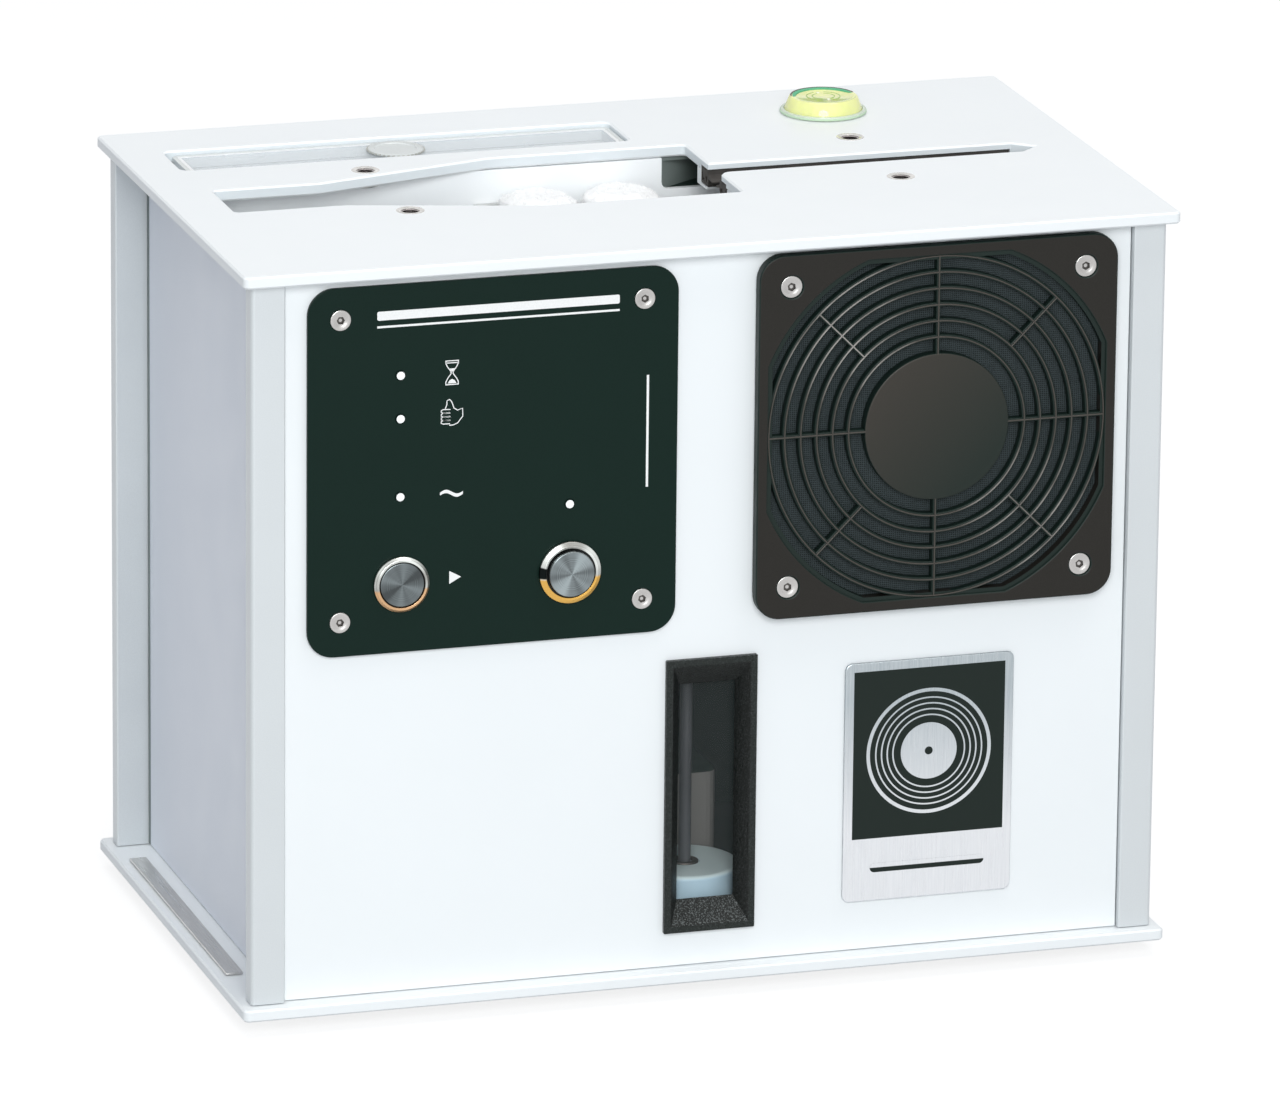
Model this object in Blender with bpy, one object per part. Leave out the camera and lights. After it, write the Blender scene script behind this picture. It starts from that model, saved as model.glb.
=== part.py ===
"""Upright record cleaning machine with an ultrasonic bath, four washing rollers and two drying fans.

The origin is the centre of the footprint at the underside of the feet.
+X is the right side seen from the front, -Y is the front and +Z is up. All lengths are in metres.
"""

import math

import bmesh
import bpy
from mathutils import Vector

# Clearances shared by all pieces
fit_gap = 0.0003
cut_overrun = 0.002
union_overlap = 0.0005

# Round pieces
coarse_steps = 12
round_steps = 20
fine_steps = 28
corner_steps = 4
smooth_angle = math.radians(32)

# Housing
plate_thickness = 0.004
plate_corner_radius = 0.0022
foot_height = 0.006
foot_radius = 0.011
foot_chamfer = 0.0012
foot_inset_x = 0.040
foot_inset_y = 0.034

# Corner posts
post_width = 0.0115
post_depth = 0.007
post_side_inset = 0.0035
post_front_inset = 0.0045
post_round = 0.0025
post_edge_round = 0.0006
post_tongue_reach = 0.008
post_tongue_thickness = 0.0015

# Panels between the posts
panel_thickness = 0.003
panel_recess = 0.0022

# Record slot in the top plate
slot_left_inset = 0.019
slot_straight_length = 0.037
slot_taper_length = 0.064
slot_fan_reach = 0.0485
slot_right_inset = 0.025
slot_tip_length = 0.0067
slot_left_half_width = 0.0145
slot_narrow_half_width = 0.0058
slot_bend_radius = 0.012
slot_corner_radius = 0.0015
slot_lead_radius = 0.004

# Threaded inserts of the top plate
insert_end_inset = 0.075
insert_wall_gap = 0.0011
insert_bore_radius = 0.0031
insert_barrel_radius = 0.0039
insert_flange_radius = 0.00475
insert_flange_height = 0.0008
insert_barrel_length = 0.008

# Filter compartment
filter_end_inset = 0.016
filter_duct_gap = 0.0048
filter_basin_gap = 0.008
filter_width = 0.026
filter_corner_radius = 0.003
filter_wall = 0.002
filter_panel_gap = 0.0005
filter_housing_tall = 0.0497
filter_ledge_drop = 0.0018
filter_ledge_width = 0.0025
filter_spout_inset = 0.0145
filter_spout_radius = 0.008
filter_spout_bore = 0.006
filter_spout_dip = 0.006
cartridge_clearance = 0.002
cartridge_top_drop = 0.005
cover_thickness = 0.0039
cover_corner_radius = 0.0025
knob_offset = 0.00175
knob_radius = 0.010
knob_waist_radius = 0.0085
knob_height = 0.001

# Bubble level
level_end_inset = 0.0731
level_rear_inset = 0.0329
level_height = 0.0058
level_flange_radius = 0.0148
level_flange_height = 0.0012
level_body_radius = 0.0132
level_top_radius = 0.01175
level_rim_round = 0.0007

# Control plate and what it carries
control_width = 0.1255
control_extra_height = 0.0005
control_side_gap = 0.0075
control_top_gap = 0.0027
control_thickness = 0.0015
control_corner_radius = 0.009
indicator_radius = 0.0015
indicator_proud = 0.0004
indicator_inset = 0.0312
wait_indicator_rise = 0.0939
done_indicator_step = 0.0146
wave_indicator_rise = 0.0529
ready_indicator_inset = 0.0888
ready_indicator_rise = 0.0461
start_button_inset = 0.0316
start_button_rise = 0.0234
mode_button_inset = 0.0889
mode_button_rise = 0.0230
button_barrel_length = 0.018
button_stem_radius = 0.004
button_shoulder_depth = 0.0042
button_cap_thickness = 0.003
button_stem_length = 0.013
button_bevel = 0.0007
button_nut_radius = 0.0125
button_nut_height = 0.003
start_barrel_radius = 0.0086
start_bezel_radius = 0.00935
start_bezel_height = 0.0018
start_cap_radius = 0.0075
start_cap_proud = -0.0002
start_ring_gap = 0.0003
mode_barrel_radius = 0.0095
mode_bezel_radius = 0.0105
mode_bezel_height = 0.002
mode_cap_radius = 0.00775
mode_cap_proud = 0.0014
mode_ring_gap = 0.0007

# Control board behind the front panel
board_left_margin = 0.0217
board_right_margin = 0.0247
board_edge_margin = 0.0056
board_thickness = 0.0016
board_standoff = 0.005
board_standoff_radius = 0.003
board_standoff_inset = 0.005
relay_width = 0.016
relay_height = 0.020
relay_depth = 0.012
relay_inset = 0.016
relay_rise = 0.012
relay_pitch = 0.024
relay_count = 2

# Fans, one in front and one behind, on one axis
fan_side_gap = 0.0065
fan_top_gap = 0.0037
fan_control_gap = 0.0265
fan_deck_gap = 0.0103
fan_frame_size = 0.1194
fan_frame_rim = 0.0027
fan_hole_margin = 0.0005
fan_frame_corner_radius = 0.004
fan_frame_depth = 0.025
fan_strut_width = 0.005
fan_strut_thickness = 0.003
fan_hub_plate_radius = 0.020
fan_axle_radius = 0.002
fan_axle_length = 0.017
rotor_tip_gap = 0.0018
rotor_hub_radius = 0.021
rotor_hub_length = 0.018
rotor_front_gap = 0.0015
rotor_bore_radius = 0.0023
blade_count = 7
blade_thickness = 0.0016
blade_root_chord = 0.020
blade_tip_chord = 0.030
blade_root_pitch = math.radians(42)
blade_tip_pitch = math.radians(22)
blade_sections = 4
blade_root_sink = 0.002

# Fan guards with their filter pads
guard_overlap = 0.0023
guard_corner_radius = 0.0085
guard_depth = 0.0042
guard_border = 0.005
guard_hub_radius = 0.025
guard_ring_lap = 0.0011
guard_ring_count = 6
guard_bar_width = 0.0012
guard_plain_count = 2
guard_quarter_steps = 6
filter_pad_border = 0.0004
filter_pad_thickness = 0.0007

# Sight window
window_x = 0.001
window_rise = 0.0119
window_top_gap = 0.0012
bezel_width = 0.0314
bezel_border = 0.0023
bezel_depth = 0.006
bezel_flange_thickness = 0.0017
bezel_flange_overlap = 0.0015
bezel_side_reveal = 0.00595
bezel_end_reveal = 0.0083
bezel_corner_radius = 0.0008
pane_side_lap = 0.00175
pane_end_lap = 0.002

# Reservoir
tank_post_gap = 0.0005
tank_rear_gap = 0.0153
tank_wall = 0.0025
tank_floor = 0.003
tank_corner_radius = 0.006
tank_height = 0.1077
stem_radius = 0.0021
stem_flange_radius = 0.005
stem_flange_height = 0.001
float_radius = 0.0183
float_bore_radius = 0.0026
float_wall_gap = 0.0012
float_floor_gap = 0.0084
float_height = 0.016
float_chamfer = 0.001

# Pump in the reservoir
pump_left_x = -0.072
pump_right_x = 0.021
pump_front_y = -0.035
pump_rear_y = 0.010
pump_height = 0.0454
pump_edge_round = 0.004
riser_x = -0.062
riser_y = -0.014
riser_radius = 0.005
riser_bore_radius = 0.0035

# Deck between the reservoir and the bath
deck_panel_gap = 0.0005
deck_thickness = 0.003
drive_space = 0.0127

# Washing bath
basin_panel_gap = 0.0008
basin_half_depth = 0.034
basin_wall = 0.002
basin_corner_radius = 0.004
basin_leg_end_inset = 0.0412
basin_leg_side_inset = 0.010
basin_leg_width = 0.008
basin_leg_depth = 0.012
mouth_left_margin = 0.0032
mouth_right_margin = 0.0002
mouth_drop = 0.011
mouth_corner_radius = 0.0025
probe_offset = 0.0067
probe_width = 0.0108
probe_thickness = 0.0022
probe_drop = 0.0114
probe_block_height = 0.006
probe_rod_radius = 0.0009
probe_rod_inset = 0.0025
probe_rod_length = 0.0833

# Air ducts between the fans and the bath
duct_depth = 0.0254
duct_wall = 0.0015
duct_mouth_margin = 0.0057
duct_mouth_height = 0.007

# Wiper profiles and their rails
wiper_left_gap = 0.0003
wiper_right_gap = 0.0005
wiper_rebate_depth = 0.0018
wiper_body_reach = 0.0082
wiper_body_height = 0.0041
wiper_lip_half_gap = 0.0023
wiper_lip_top_drop = 0.0031
wiper_lip_thickness = 0.0006
wiper_lip_rise = 0.0014
wiper_lip_root = 0.0013
wiper_toe = 0.0004
wiper_chamber_radius = 0.0016
wiper_chamber_steps = 8
rail_reach = 0.0127
rail_lip_reach = 0.003
rail_lip_thickness = 0.0011

# Washing rollers, two on each side of the record
roller_step_gap = 0.0275
roller_pitch = 0.029
roller_half_gap = 0.0022
sleeve_radius = 0.0133
sleeve_bore_radius = 0.0073
sleeve_floor_gap = 0.0043
sleeve_drop = 0.0042
sleeve_round = 0.003
spindle_core_radius = 0.007
spindle_core_drop = 0.0015
spindle_shaft_radius = 0.0042
spindle_journal_radius = 0.003
spindle_journal_dip = 0.0025
spindle_flange_radius = 0.012
spindle_flange_thickness = 0.0016

# Roller drive
gear_deck_gap = 0.0017
gear_face_width = 0.004
gear_level_pitch = 0.0055
roller_teeth = 20
drive_teeth = 28
tooth_addendum_share = 0.75
tooth_dedendum_share = 1.05
tooth_tip_share = 0.20
tooth_root_share = 0.54
drive_shaft_radius = 0.003
motor_radius = 0.014
motor_top_gap = 0.015
motor_flange_thickness = 0.0026
motor_flange_half_length = 0.029
motor_flange_half_width = 0.012
motor_leg_offset = 0.026
motor_leg_width = 0.005
motor_gear_gap = 0.0009
motor_bore_depth = 0.0075
motor_step = 0.0015
motor_cap_length = 0.010

# Ultrasonic transducer on the front wall of the bath
transducer_inset = 0.0462
transducer_rise = 0.052
transducer_front_radius = 0.022
transducer_front_length = 0.012
transducer_ring_radius = 0.018
transducer_ring_length = 0.009
transducer_tail_radius = 0.020
transducer_tail_length = 0.0155

# Name plate and base strip
name_plate_width = 0.059
name_plate_tall = 0.0832
name_plate_offset = 0.0005
name_plate_rise = 0.017
name_plate_thickness = 0.001
name_plate_corner_radius = 0.0025
strip_edge_gap = 0.0036
strip_width = 0.0059
strip_length = 0.126
strip_offset = 0.0045
strip_thickness = 0.0008

# Power inlet in the rear panel
inlet_end_inset = 0.060
inlet_drop = 0.0747
inlet_flange_width = 0.048
inlet_flange_tall = 0.028
inlet_flange_thickness = 0.003
inlet_body_width = 0.030
inlet_body_tall = 0.022
inlet_body_depth = 0.020
inlet_corner_radius = 0.003
inlet_socket_width = 0.0244
inlet_socket_tall = 0.0164
inlet_socket_depth = 0.017
inlet_pin_width = 0.002
inlet_pin_tall = 0.004
inlet_pin_length = 0.010
inlet_pin_pitch = 0.007

# Drain plug in the rear panel
plug_inset = 0.0365
plug_rise = 0.0112
plug_head_radius = 0.012
plug_head_height = 0.005
plug_grip_count = 12
plug_grip_depth = 0.0008
plug_shank_radius = 0.007
plug_inner_reach = 0.003

# Width, depth and height that follow from what stands side by side
guard_size = fan_frame_size + 2 * guard_overlap
front_run = control_side_gap + control_width + fan_control_gap + guard_size + fan_side_gap
post_inner_x = front_run / 2
post_outer_x = post_inner_x + post_width
body_half_width = post_outer_x + post_side_inset
fan_back_y = basin_half_depth + fit_gap + duct_depth + fit_gap
fan_front_y = fan_back_y + fan_frame_depth
panel_inner_y = fan_front_y + fit_gap
panel_outer_y = panel_inner_y + panel_thickness
post_front_y = panel_outer_y + panel_recess
post_back_y = post_front_y - post_depth
body_half_depth = post_front_y + post_front_inset
base_low = foot_height
base_top = base_low + plate_thickness
inner_low = base_top + fit_gap
tank_low = inner_low
tank_floor_top = tank_low + tank_floor
tank_top = tank_low + tank_height
deck_low = tank_top + fit_gap
deck_top = deck_low + deck_thickness
basin_low = deck_top + drive_space
basin_floor_top = basin_low + basin_wall
inner_high = deck_top + fan_deck_gap + fan_frame_size + fan_top_gap
top_low = inner_high + fit_gap
top_face = top_low + plate_thickness
side_inner_x = post_inner_x - panel_thickness

# Places and sizes of the fans and their guards
fan_x = post_inner_x - fan_side_gap - guard_size / 2
fan_centre_height = inner_high - fan_top_gap - fan_frame_size / 2
fan_bore_radius = fan_frame_size / 2 - fan_frame_rim
fan_hole_radius = fan_bore_radius + fan_hole_margin
rotor_radius = fan_bore_radius - rotor_tip_gap
guard_flat_reach = guard_size / 2 - guard_border

# Places of the slot, the bath and the rollers
basin_half_width = side_inner_x - basin_panel_gap
basin_inner_y = basin_half_depth - basin_wall
slot_left_x = slot_left_inset - body_half_width
slot_taper_start_x = slot_left_x + slot_straight_length
slot_taper_end_x = slot_taper_start_x + slot_taper_length
slot_step_x = fan_x - slot_fan_reach
slot_right_x = body_half_width - slot_right_inset
slot_tip_x = slot_right_x + slot_tip_length
insert_x = body_half_width - insert_end_inset
insert_y = basin_inner_y - insert_wall_gap - insert_barrel_radius
wiper_left_x = slot_step_x + wiper_left_gap
wiper_right_x = slot_right_x - wiper_right_gap
wiper_body_outer = slot_narrow_half_width + wiper_body_reach
roller_right_x = slot_step_x - roller_step_gap
roller_left_x = roller_right_x - roller_pitch
roller_y = roller_half_gap + sleeve_radius
sleeve_low = basin_floor_top + sleeve_floor_gap
sleeve_top = inner_high - sleeve_drop
spindle_core_top = sleeve_top - spindle_core_drop
gear_low = deck_top + gear_deck_gap
roller_pitch_radius = roller_y
gear_module = 2 * roller_pitch_radius / roller_teeth
drive_pitch_radius = gear_module * drive_teeth / 2
drive_x = (roller_left_x + roller_right_x) / 2
drive_reach = roller_pitch_radius + drive_pitch_radius
drive_y = roller_y + math.sqrt(drive_reach ** 2 - (drive_x - roller_left_x) ** 2)
gear_top = gear_low + gear_level_pitch + gear_face_width
motor_flange_low = gear_top + motor_gear_gap

# Places on the front and the rear
control_left_x = control_side_gap - post_inner_x
control_right_x = control_left_x + control_width
control_high = inner_high - control_top_gap
control_low = control_high - guard_size - control_extra_height
indicator_x = control_left_x + indicator_inset
ready_indicator_x = control_left_x + ready_indicator_inset
ready_indicator_height = control_low + ready_indicator_rise
start_button_x = control_left_x + start_button_inset
start_button_height = control_low + start_button_rise
mode_button_x = control_left_x + mode_button_inset
mode_button_height = control_low + mode_button_rise
bezel_front_y = panel_outer_y + fit_gap + bezel_flange_thickness
bezel_back_y = bezel_front_y - bezel_depth
bezel_tall = tank_height - window_rise - window_top_gap
bezel_opening_width = bezel_width - 2 * bezel_side_reveal
bezel_opening_tall = bezel_tall - 2 * bezel_end_reveal
pane_width = bezel_opening_width + 2 * pane_side_lap
pane_tall = bezel_opening_tall + 2 * pane_end_lap
window_height = tank_low + window_rise + bezel_tall / 2
inlet_x = inlet_end_inset - body_half_width
inlet_height = inner_high - inlet_drop

# Places in the reservoir and of the filter compartment
tank_half_width = post_inner_x - post_tongue_reach - tank_post_gap
tank_front_y = bezel_back_y - fit_gap
tank_rear_y = panel_inner_y - tank_rear_gap
stem_y = float_radius + float_wall_gap + tank_wall - tank_front_y
float_low = tank_floor_top + float_floor_gap
pump_top = tank_floor_top + fit_gap + pump_height
plug_x = plug_inset - tank_half_width
plug_height = tank_floor_top + plug_rise
filter_left_x = filter_end_inset - body_half_width
filter_right_x = fan_x - fan_frame_size / 2 - filter_duct_gap
filter_front_y = basin_half_depth + filter_basin_gap
filter_rear_y = filter_front_y + filter_width
filter_housing_left_x = filter_panel_gap - side_inner_x
filter_housing_low = inner_high - filter_housing_tall
filter_spout_x = filter_spout_inset - tank_half_width
knob_x = (filter_housing_left_x + filter_right_x) / 2 - knob_offset

finishes = {
    "white_sheet": ((0.90, 0.92, 0.92), 0.42, 0.0),
    "anodised": ((0.72, 0.75, 0.77), 0.40, 0.8),
    "steel": ((0.62, 0.62, 0.61), 0.28, 1.0),
    "dark_plate": ((0.013, 0.027, 0.023), 0.35, 0.0),
    "black_plastic": ((0.022, 0.021, 0.018), 0.45, 0.0),
    "black_rubber": ((0.016, 0.015, 0.014), 0.60, 0.0),
    "filter_mesh": ((0.020, 0.027, 0.033), 0.80, 0.0),
    "white_plastic": ((0.83, 0.86, 0.88), 0.45, 0.0),
    "grey_plastic": ((0.26, 0.27, 0.29), 0.50, 0.0),
    "clear_plastic": ((0.80, 0.86, 0.88), 0.08, 0.0),
    "level_fluid": ((0.72, 0.80, 0.12), 0.10, 0.0),
    "microfibre": ((0.93, 0.93, 0.92), 0.90, 0.0),
    "foam": ((0.62, 0.72, 0.80), 0.95, 0.0),
    "board_green": ((0.02, 0.16, 0.07), 0.50, 0.0),
    "nylon": ((0.78, 0.76, 0.68), 0.50, 0.0),
}


def clear_scene():
    for old in list(bpy.data.objects):
        bpy.data.objects.remove(old, do_unlink=True)


def make_material(node, finish):
    colour, roughness, metallic = finishes[finish]
    material = bpy.data.materials.new(f"{node}_{finish}")
    material.use_nodes = True
    shader = material.node_tree.nodes["Principled BSDF"]
    shader.inputs["Base Color"].default_value = (*colour, 1.0)
    shader.inputs["Roughness"].default_value = roughness
    shader.inputs["Metallic"].default_value = metallic
    return material


def place_object(name, mesh):
    mesh.normal_update()
    data = bpy.data.meshes.new(name)
    mesh.to_mesh(data)
    mesh.free()
    made = bpy.data.objects.new(name, data)
    bpy.context.scene.collection.objects.link(made)
    return made


def add_boolean(target, shape, operation, label):
    guide = place_object(f"guide_{target.name}_{label}", shape)
    guide.hide_render = True
    guide.display_type = "WIRE"
    guide.location = -target.location
    guide.parent = target
    boolean = target.modifiers.new(label, "BOOLEAN")
    boolean.operation = operation
    boolean.solver = "EXACT"
    boolean.object = guide


def make_part(name, finish, mesh, added=(), cut=(), origin=(0.0, 0.0, 0.0)):
    """One node: a body, what is fused to it, and then what is cut out of it."""
    bmesh.ops.translate(mesh, verts=mesh.verts, vec=-Vector(origin))
    part = place_object(name, mesh)
    part.location = origin
    part.data.materials.append(make_material(name, finish))
    part.data.shade_smooth()
    part.data.set_sharp_from_angle(angle=smooth_angle)
    for index, shape in enumerate(added):
        add_boolean(part, shape, "UNION", f"add_{index}")
    for index, shape in enumerate(cut):
        add_boolean(part, shape, "DIFFERENCE", f"cut_{index}")
    return part


def lay(first, second, height, axis):
    """A point of a flat outline and its height, laid along one axis of the frame."""
    if axis == "X":
        return (height, first, second)
    if axis == "Y":
        return (first, height, second)
    return (first, second, height)


def circle(centre, radius, steps, start=0.0):
    points = []
    for step in range(steps):
        angle = start + math.tau * step / steps
        points.append((centre[0] + radius * math.cos(angle), centre[1] + radius * math.sin(angle)))
    return points


def rounded(corners, steps=corner_steps):
    """An outline from (x, y, radius) corners, each rounded by an arc of that radius."""
    points = []
    for index, (x, y, radius) in enumerate(corners):
        here = Vector((x, y))
        if not radius:
            points.append((x, y))
            continue
        before = (Vector(corners[index - 1][:2]) - here).normalized()
        after = (Vector(corners[(index + 1) % len(corners)][:2]) - here).normalized()
        half_angle = before.angle(after) / 2
        centre = here + (before + after).normalized() * radius / math.sin(half_angle)
        start = here + before * radius / math.tan(half_angle) - centre
        end = here + after * radius / math.tan(half_angle) - centre
        sweep = start.angle(end)
        for step in range(steps + 1):
            turn = sweep * step / steps
            point = centre + (start * math.sin(sweep - turn) + end * math.sin(turn)) / math.sin(sweep)
            points.append((point.x, point.y))
    return points


def rectangle(left, right, low, high, radius=0.0):
    corners = ((left, low), (right, low), (right, high), (left, high))
    return rounded([(x, y, radius) for x, y in corners])


def centred(centre, width, tall, radius=0.0):
    left, right = centre[0] - width / 2, centre[0] + width / 2
    return rectangle(left, right, centre[1] - tall / 2, centre[1] + tall / 2, radius)


def prism(outline, low, high, axis="Z", holes=()):
    """A flat outline with holes, given thickness along one axis."""
    mesh = bmesh.new()
    edges = []
    for loop in (outline, *holes):
        verts = [mesh.verts.new(lay(x, y, low, axis)) for x, y in loop]
        for here, after in zip(verts, verts[1:] + verts[:1]):
            edges.append(mesh.edges.new((here, after)))
    filled = bmesh.ops.triangle_fill(mesh, use_beauty=True, edges=edges)
    faces = [item for item in filled["geom"] if isinstance(item, bmesh.types.BMFace)]
    grown = bmesh.ops.extrude_face_region(mesh, geom=faces)
    moved = [item for item in grown["geom"] if isinstance(item, bmesh.types.BMVert)]
    bmesh.ops.translate(mesh, verts=moved, vec=lay(0.0, 0.0, high - low, axis))
    bmesh.ops.recalc_face_normals(mesh, faces=mesh.faces)
    return mesh


def box(low, high):
    return prism(rectangle(low[0], high[0], low[1], high[1]), low[2], high[2])


def turned(profile, centre, axis="Z", steps=round_steps):
    """A closed (radius, height) profile turned round an axis through a flat centre point."""
    mesh = bmesh.new()
    rings = []
    for radius, height in profile:
        if radius:
            rings.append([mesh.verts.new(lay(x, y, height, axis)) for x, y in circle(centre, radius, steps)])
        else:
            rings.append([mesh.verts.new(lay(*centre, height, axis))] * steps)
    for ring, after in zip(rings, rings[1:] + rings[:1]):
        for step in range(steps):
            follow = (step + 1) % steps
            corners = dict.fromkeys((ring[step], ring[follow], after[follow], after[step]))
            if len(corners) > 2:
                mesh.faces.new(corners)
    bmesh.ops.recalc_face_normals(mesh, faces=mesh.faces)
    return mesh


def rod(centre, radius, low, high, axis="Z", steps=round_steps):
    return prism(circle(centre, radius, steps), low, high, axis)


def merged(meshes):
    """Several separate solids as the bodies of one mesh."""
    whole = bmesh.new()
    for mesh in meshes:
        data = bpy.data.meshes.new("merged")
        mesh.to_mesh(data)
        mesh.free()
        whole.from_mesh(data)
        bpy.data.meshes.remove(data)
    return whole


def plate_outline():
    return centred((0.0, 0.0), 2 * body_half_width, 2 * body_half_depth, plate_corner_radius)


def slot_outline():
    """The record slot: a wide left part over the rollers and a narrow right part between the wipers."""
    front = [
        (slot_left_x, -slot_left_half_width, slot_corner_radius),
        (slot_taper_start_x, -slot_left_half_width, slot_bend_radius),
        (slot_taper_end_x, -basin_inner_y, slot_bend_radius),
        (slot_step_x, -basin_inner_y, slot_corner_radius),
        (slot_step_x, -slot_narrow_half_width, slot_lead_radius),
        (slot_right_x, -slot_narrow_half_width, 0.0),
        (slot_tip_x, 0.0, 0.0),
    ]
    rear = [
        (slot_right_x, slot_narrow_half_width, 0.0),
        (slot_step_x, slot_narrow_half_width, 0.0),
        (slot_step_x, basin_inner_y, slot_corner_radius),
        (slot_taper_end_x, basin_inner_y, slot_bend_radius),
        (slot_taper_start_x, slot_left_half_width, slot_bend_radius),
        (slot_left_x, slot_left_half_width, slot_corner_radius),
    ]
    return rounded(front + rear)


def insert_places():
    return [(x, y) for x in (-insert_x, insert_x) for y in (-insert_y, insert_y)]


def insert_profile():
    flange_top = top_face + insert_flange_height
    return (
        (insert_bore_radius, top_low - insert_barrel_length),
        (insert_barrel_radius, top_low - insert_barrel_length),
        (insert_barrel_radius, top_face - union_overlap),
        (insert_flange_radius, top_face - union_overlap),
        (insert_flange_radius, flange_top),
        (insert_bore_radius, flange_top),
    )


def make_base_plate():
    make_part("base_plate", "white_sheet", prism(plate_outline(), base_low, base_top))


def wiper_rail(side):
    """A white rail under the top plate that holds one wiper profile."""
    lip_high = top_low - fit_gap - wiper_body_height - fit_gap
    lip_low = lip_high - rail_lip_thickness
    root = top_low + union_overlap
    inner = side * (wiper_body_outer + fit_gap)
    outer = side * (slot_narrow_half_width + rail_reach)
    toe = side * (slot_narrow_half_width + rail_lip_reach)
    section = [(outer, root), (outer, lip_low), (toe, lip_low)]
    section += [(toe, lip_high), (inner, lip_high), (inner, root)]
    return prism(section, wiper_left_x, wiper_right_x, "X")


def wiper_rebate():
    """The room for the backs of both wipers in the underside of the top plate."""
    reach = wiper_body_outer + fit_gap
    return box((slot_step_x - cut_overrun, -reach, top_low - cut_overrun),
               (wiper_right_x + fit_gap, reach, top_low + wiper_rebate_depth))


def make_top_plate():
    insert_hole_radius = (insert_bore_radius + insert_barrel_radius) / 2
    holes = [slot_outline()]
    left, right = filter_left_x, filter_right_x
    holes.append(rectangle(left, right, filter_front_y, filter_rear_y, filter_corner_radius))
    for place in insert_places():
        holes.append(circle(place, insert_hole_radius, coarse_steps))
    plate = prism(plate_outline(), top_low, top_face, holes=holes)
    inserts = merged([turned(insert_profile(), place, steps=coarse_steps) for place in insert_places()])
    added = (inserts, wiper_rail(-1), wiper_rail(1))
    make_part("top_plate", "white_sheet", plate, added=added, cut=(wiper_rebate(),))


def make_posts():
    for side, side_name in ((-1, "left"), (1, "right")):
        for end, end_name in ((-1, "front"), (1, "rear")):
            tongue_x = side * (post_inner_x - post_tongue_reach)
            tongue_y = end * (post_back_y + post_tongue_thickness)
            section = rounded([
                (side * post_outer_x, end * post_front_y, post_round),
                (side * post_inner_x, end * post_front_y, post_edge_round),
                (side * post_inner_x, tongue_y, 0.0),
                (tongue_x, tongue_y, 0.0),
                (tongue_x, end * post_back_y, 0.0),
                (side * post_outer_x, end * post_back_y, post_edge_round),
            ])
            post = prism(section, inner_low, inner_high)
            make_part(f"corner_post_{end_name}_{side_name}", "anodised", post)


def make_feet():
    profile = (
        (0.0, 0.0),
        (foot_radius - foot_chamfer, 0.0),
        (foot_radius, foot_chamfer),
        (foot_radius, foot_height - fit_gap),
        (0.0, foot_height - fit_gap),
    )
    for side, side_name in ((-1, "left"), (1, "right")):
        for end, end_name in ((-1, "front"), (1, "rear")):
            centre = (side * (body_half_width - foot_inset_x), end * (body_half_depth - foot_inset_y))
            make_part(f"foot_{end_name}_{side_name}", "black_rubber", turned(profile, centre))


def panel_outline():
    reach = post_inner_x - fit_gap
    return rectangle(-reach, reach, inner_low, inner_high)


def indicator_places():
    rises = (wait_indicator_rise, wait_indicator_rise - done_indicator_step, wave_indicator_rise)
    places = [(indicator_x, control_low + rise) for rise in rises]
    places.append((ready_indicator_x, ready_indicator_height))
    return places


def front_holes():
    """Holes that the front panel and the control plate share."""
    holes = [circle(place, indicator_radius + fit_gap, coarse_steps) for place in indicator_places()]
    start, mode = (start_button_x, start_button_height), (mode_button_x, mode_button_height)
    for centre, radius in ((start, start_barrel_radius), (mode, mode_barrel_radius)):
        holes.append(circle(centre, radius + fit_gap, round_steps))
    return holes


def make_front_panel():
    holes = front_holes()
    holes.append(circle((fan_x, fan_centre_height), fan_hole_radius, fine_steps))
    throat_width = bezel_width - 2 * bezel_flange_overlap
    throat_tall = bezel_tall - 2 * bezel_flange_overlap
    holes.append(centred((window_x, window_height), throat_width + 2 * fit_gap, throat_tall + 2 * fit_gap))
    panel = prism(panel_outline(), -panel_outer_y, -panel_inner_y, "Y", holes)
    make_part("front_panel", "white_sheet", panel)


def make_rear_panel():
    holes = [circle((fan_x, fan_centre_height), fan_hole_radius, fine_steps)]
    inlet_hole_width = inlet_body_width + 2 * fit_gap
    inlet_hole_tall = inlet_body_tall + 2 * fit_gap
    holes.append(centred((inlet_x, inlet_height), inlet_hole_width, inlet_hole_tall, inlet_corner_radius))
    holes.append(circle((plug_x, plug_height), plug_shank_radius + fit_gap, round_steps))
    panel = prism(panel_outline(), panel_inner_y, panel_outer_y, "Y", holes)
    make_part("rear_panel", "white_sheet", panel)


def make_side_panels():
    reach = post_back_y - fit_gap
    for side, side_name in ((-1, "left"), (1, "right")):
        outline = rectangle(-reach, reach, inner_low, inner_high)
        panel = prism(outline, side * post_inner_x, side * side_inner_x, "X")
        make_part(f"side_panel_{side_name}", "white_sheet", panel)


def make_control_plate():
    outline = rectangle(control_left_x, control_right_x, control_low, control_high, control_corner_radius)
    back = -(panel_outer_y + fit_gap)
    plate = prism(outline, back - control_thickness, back, "Y", front_holes())
    make_part("control_plate", "dark_plate", plate)


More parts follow.
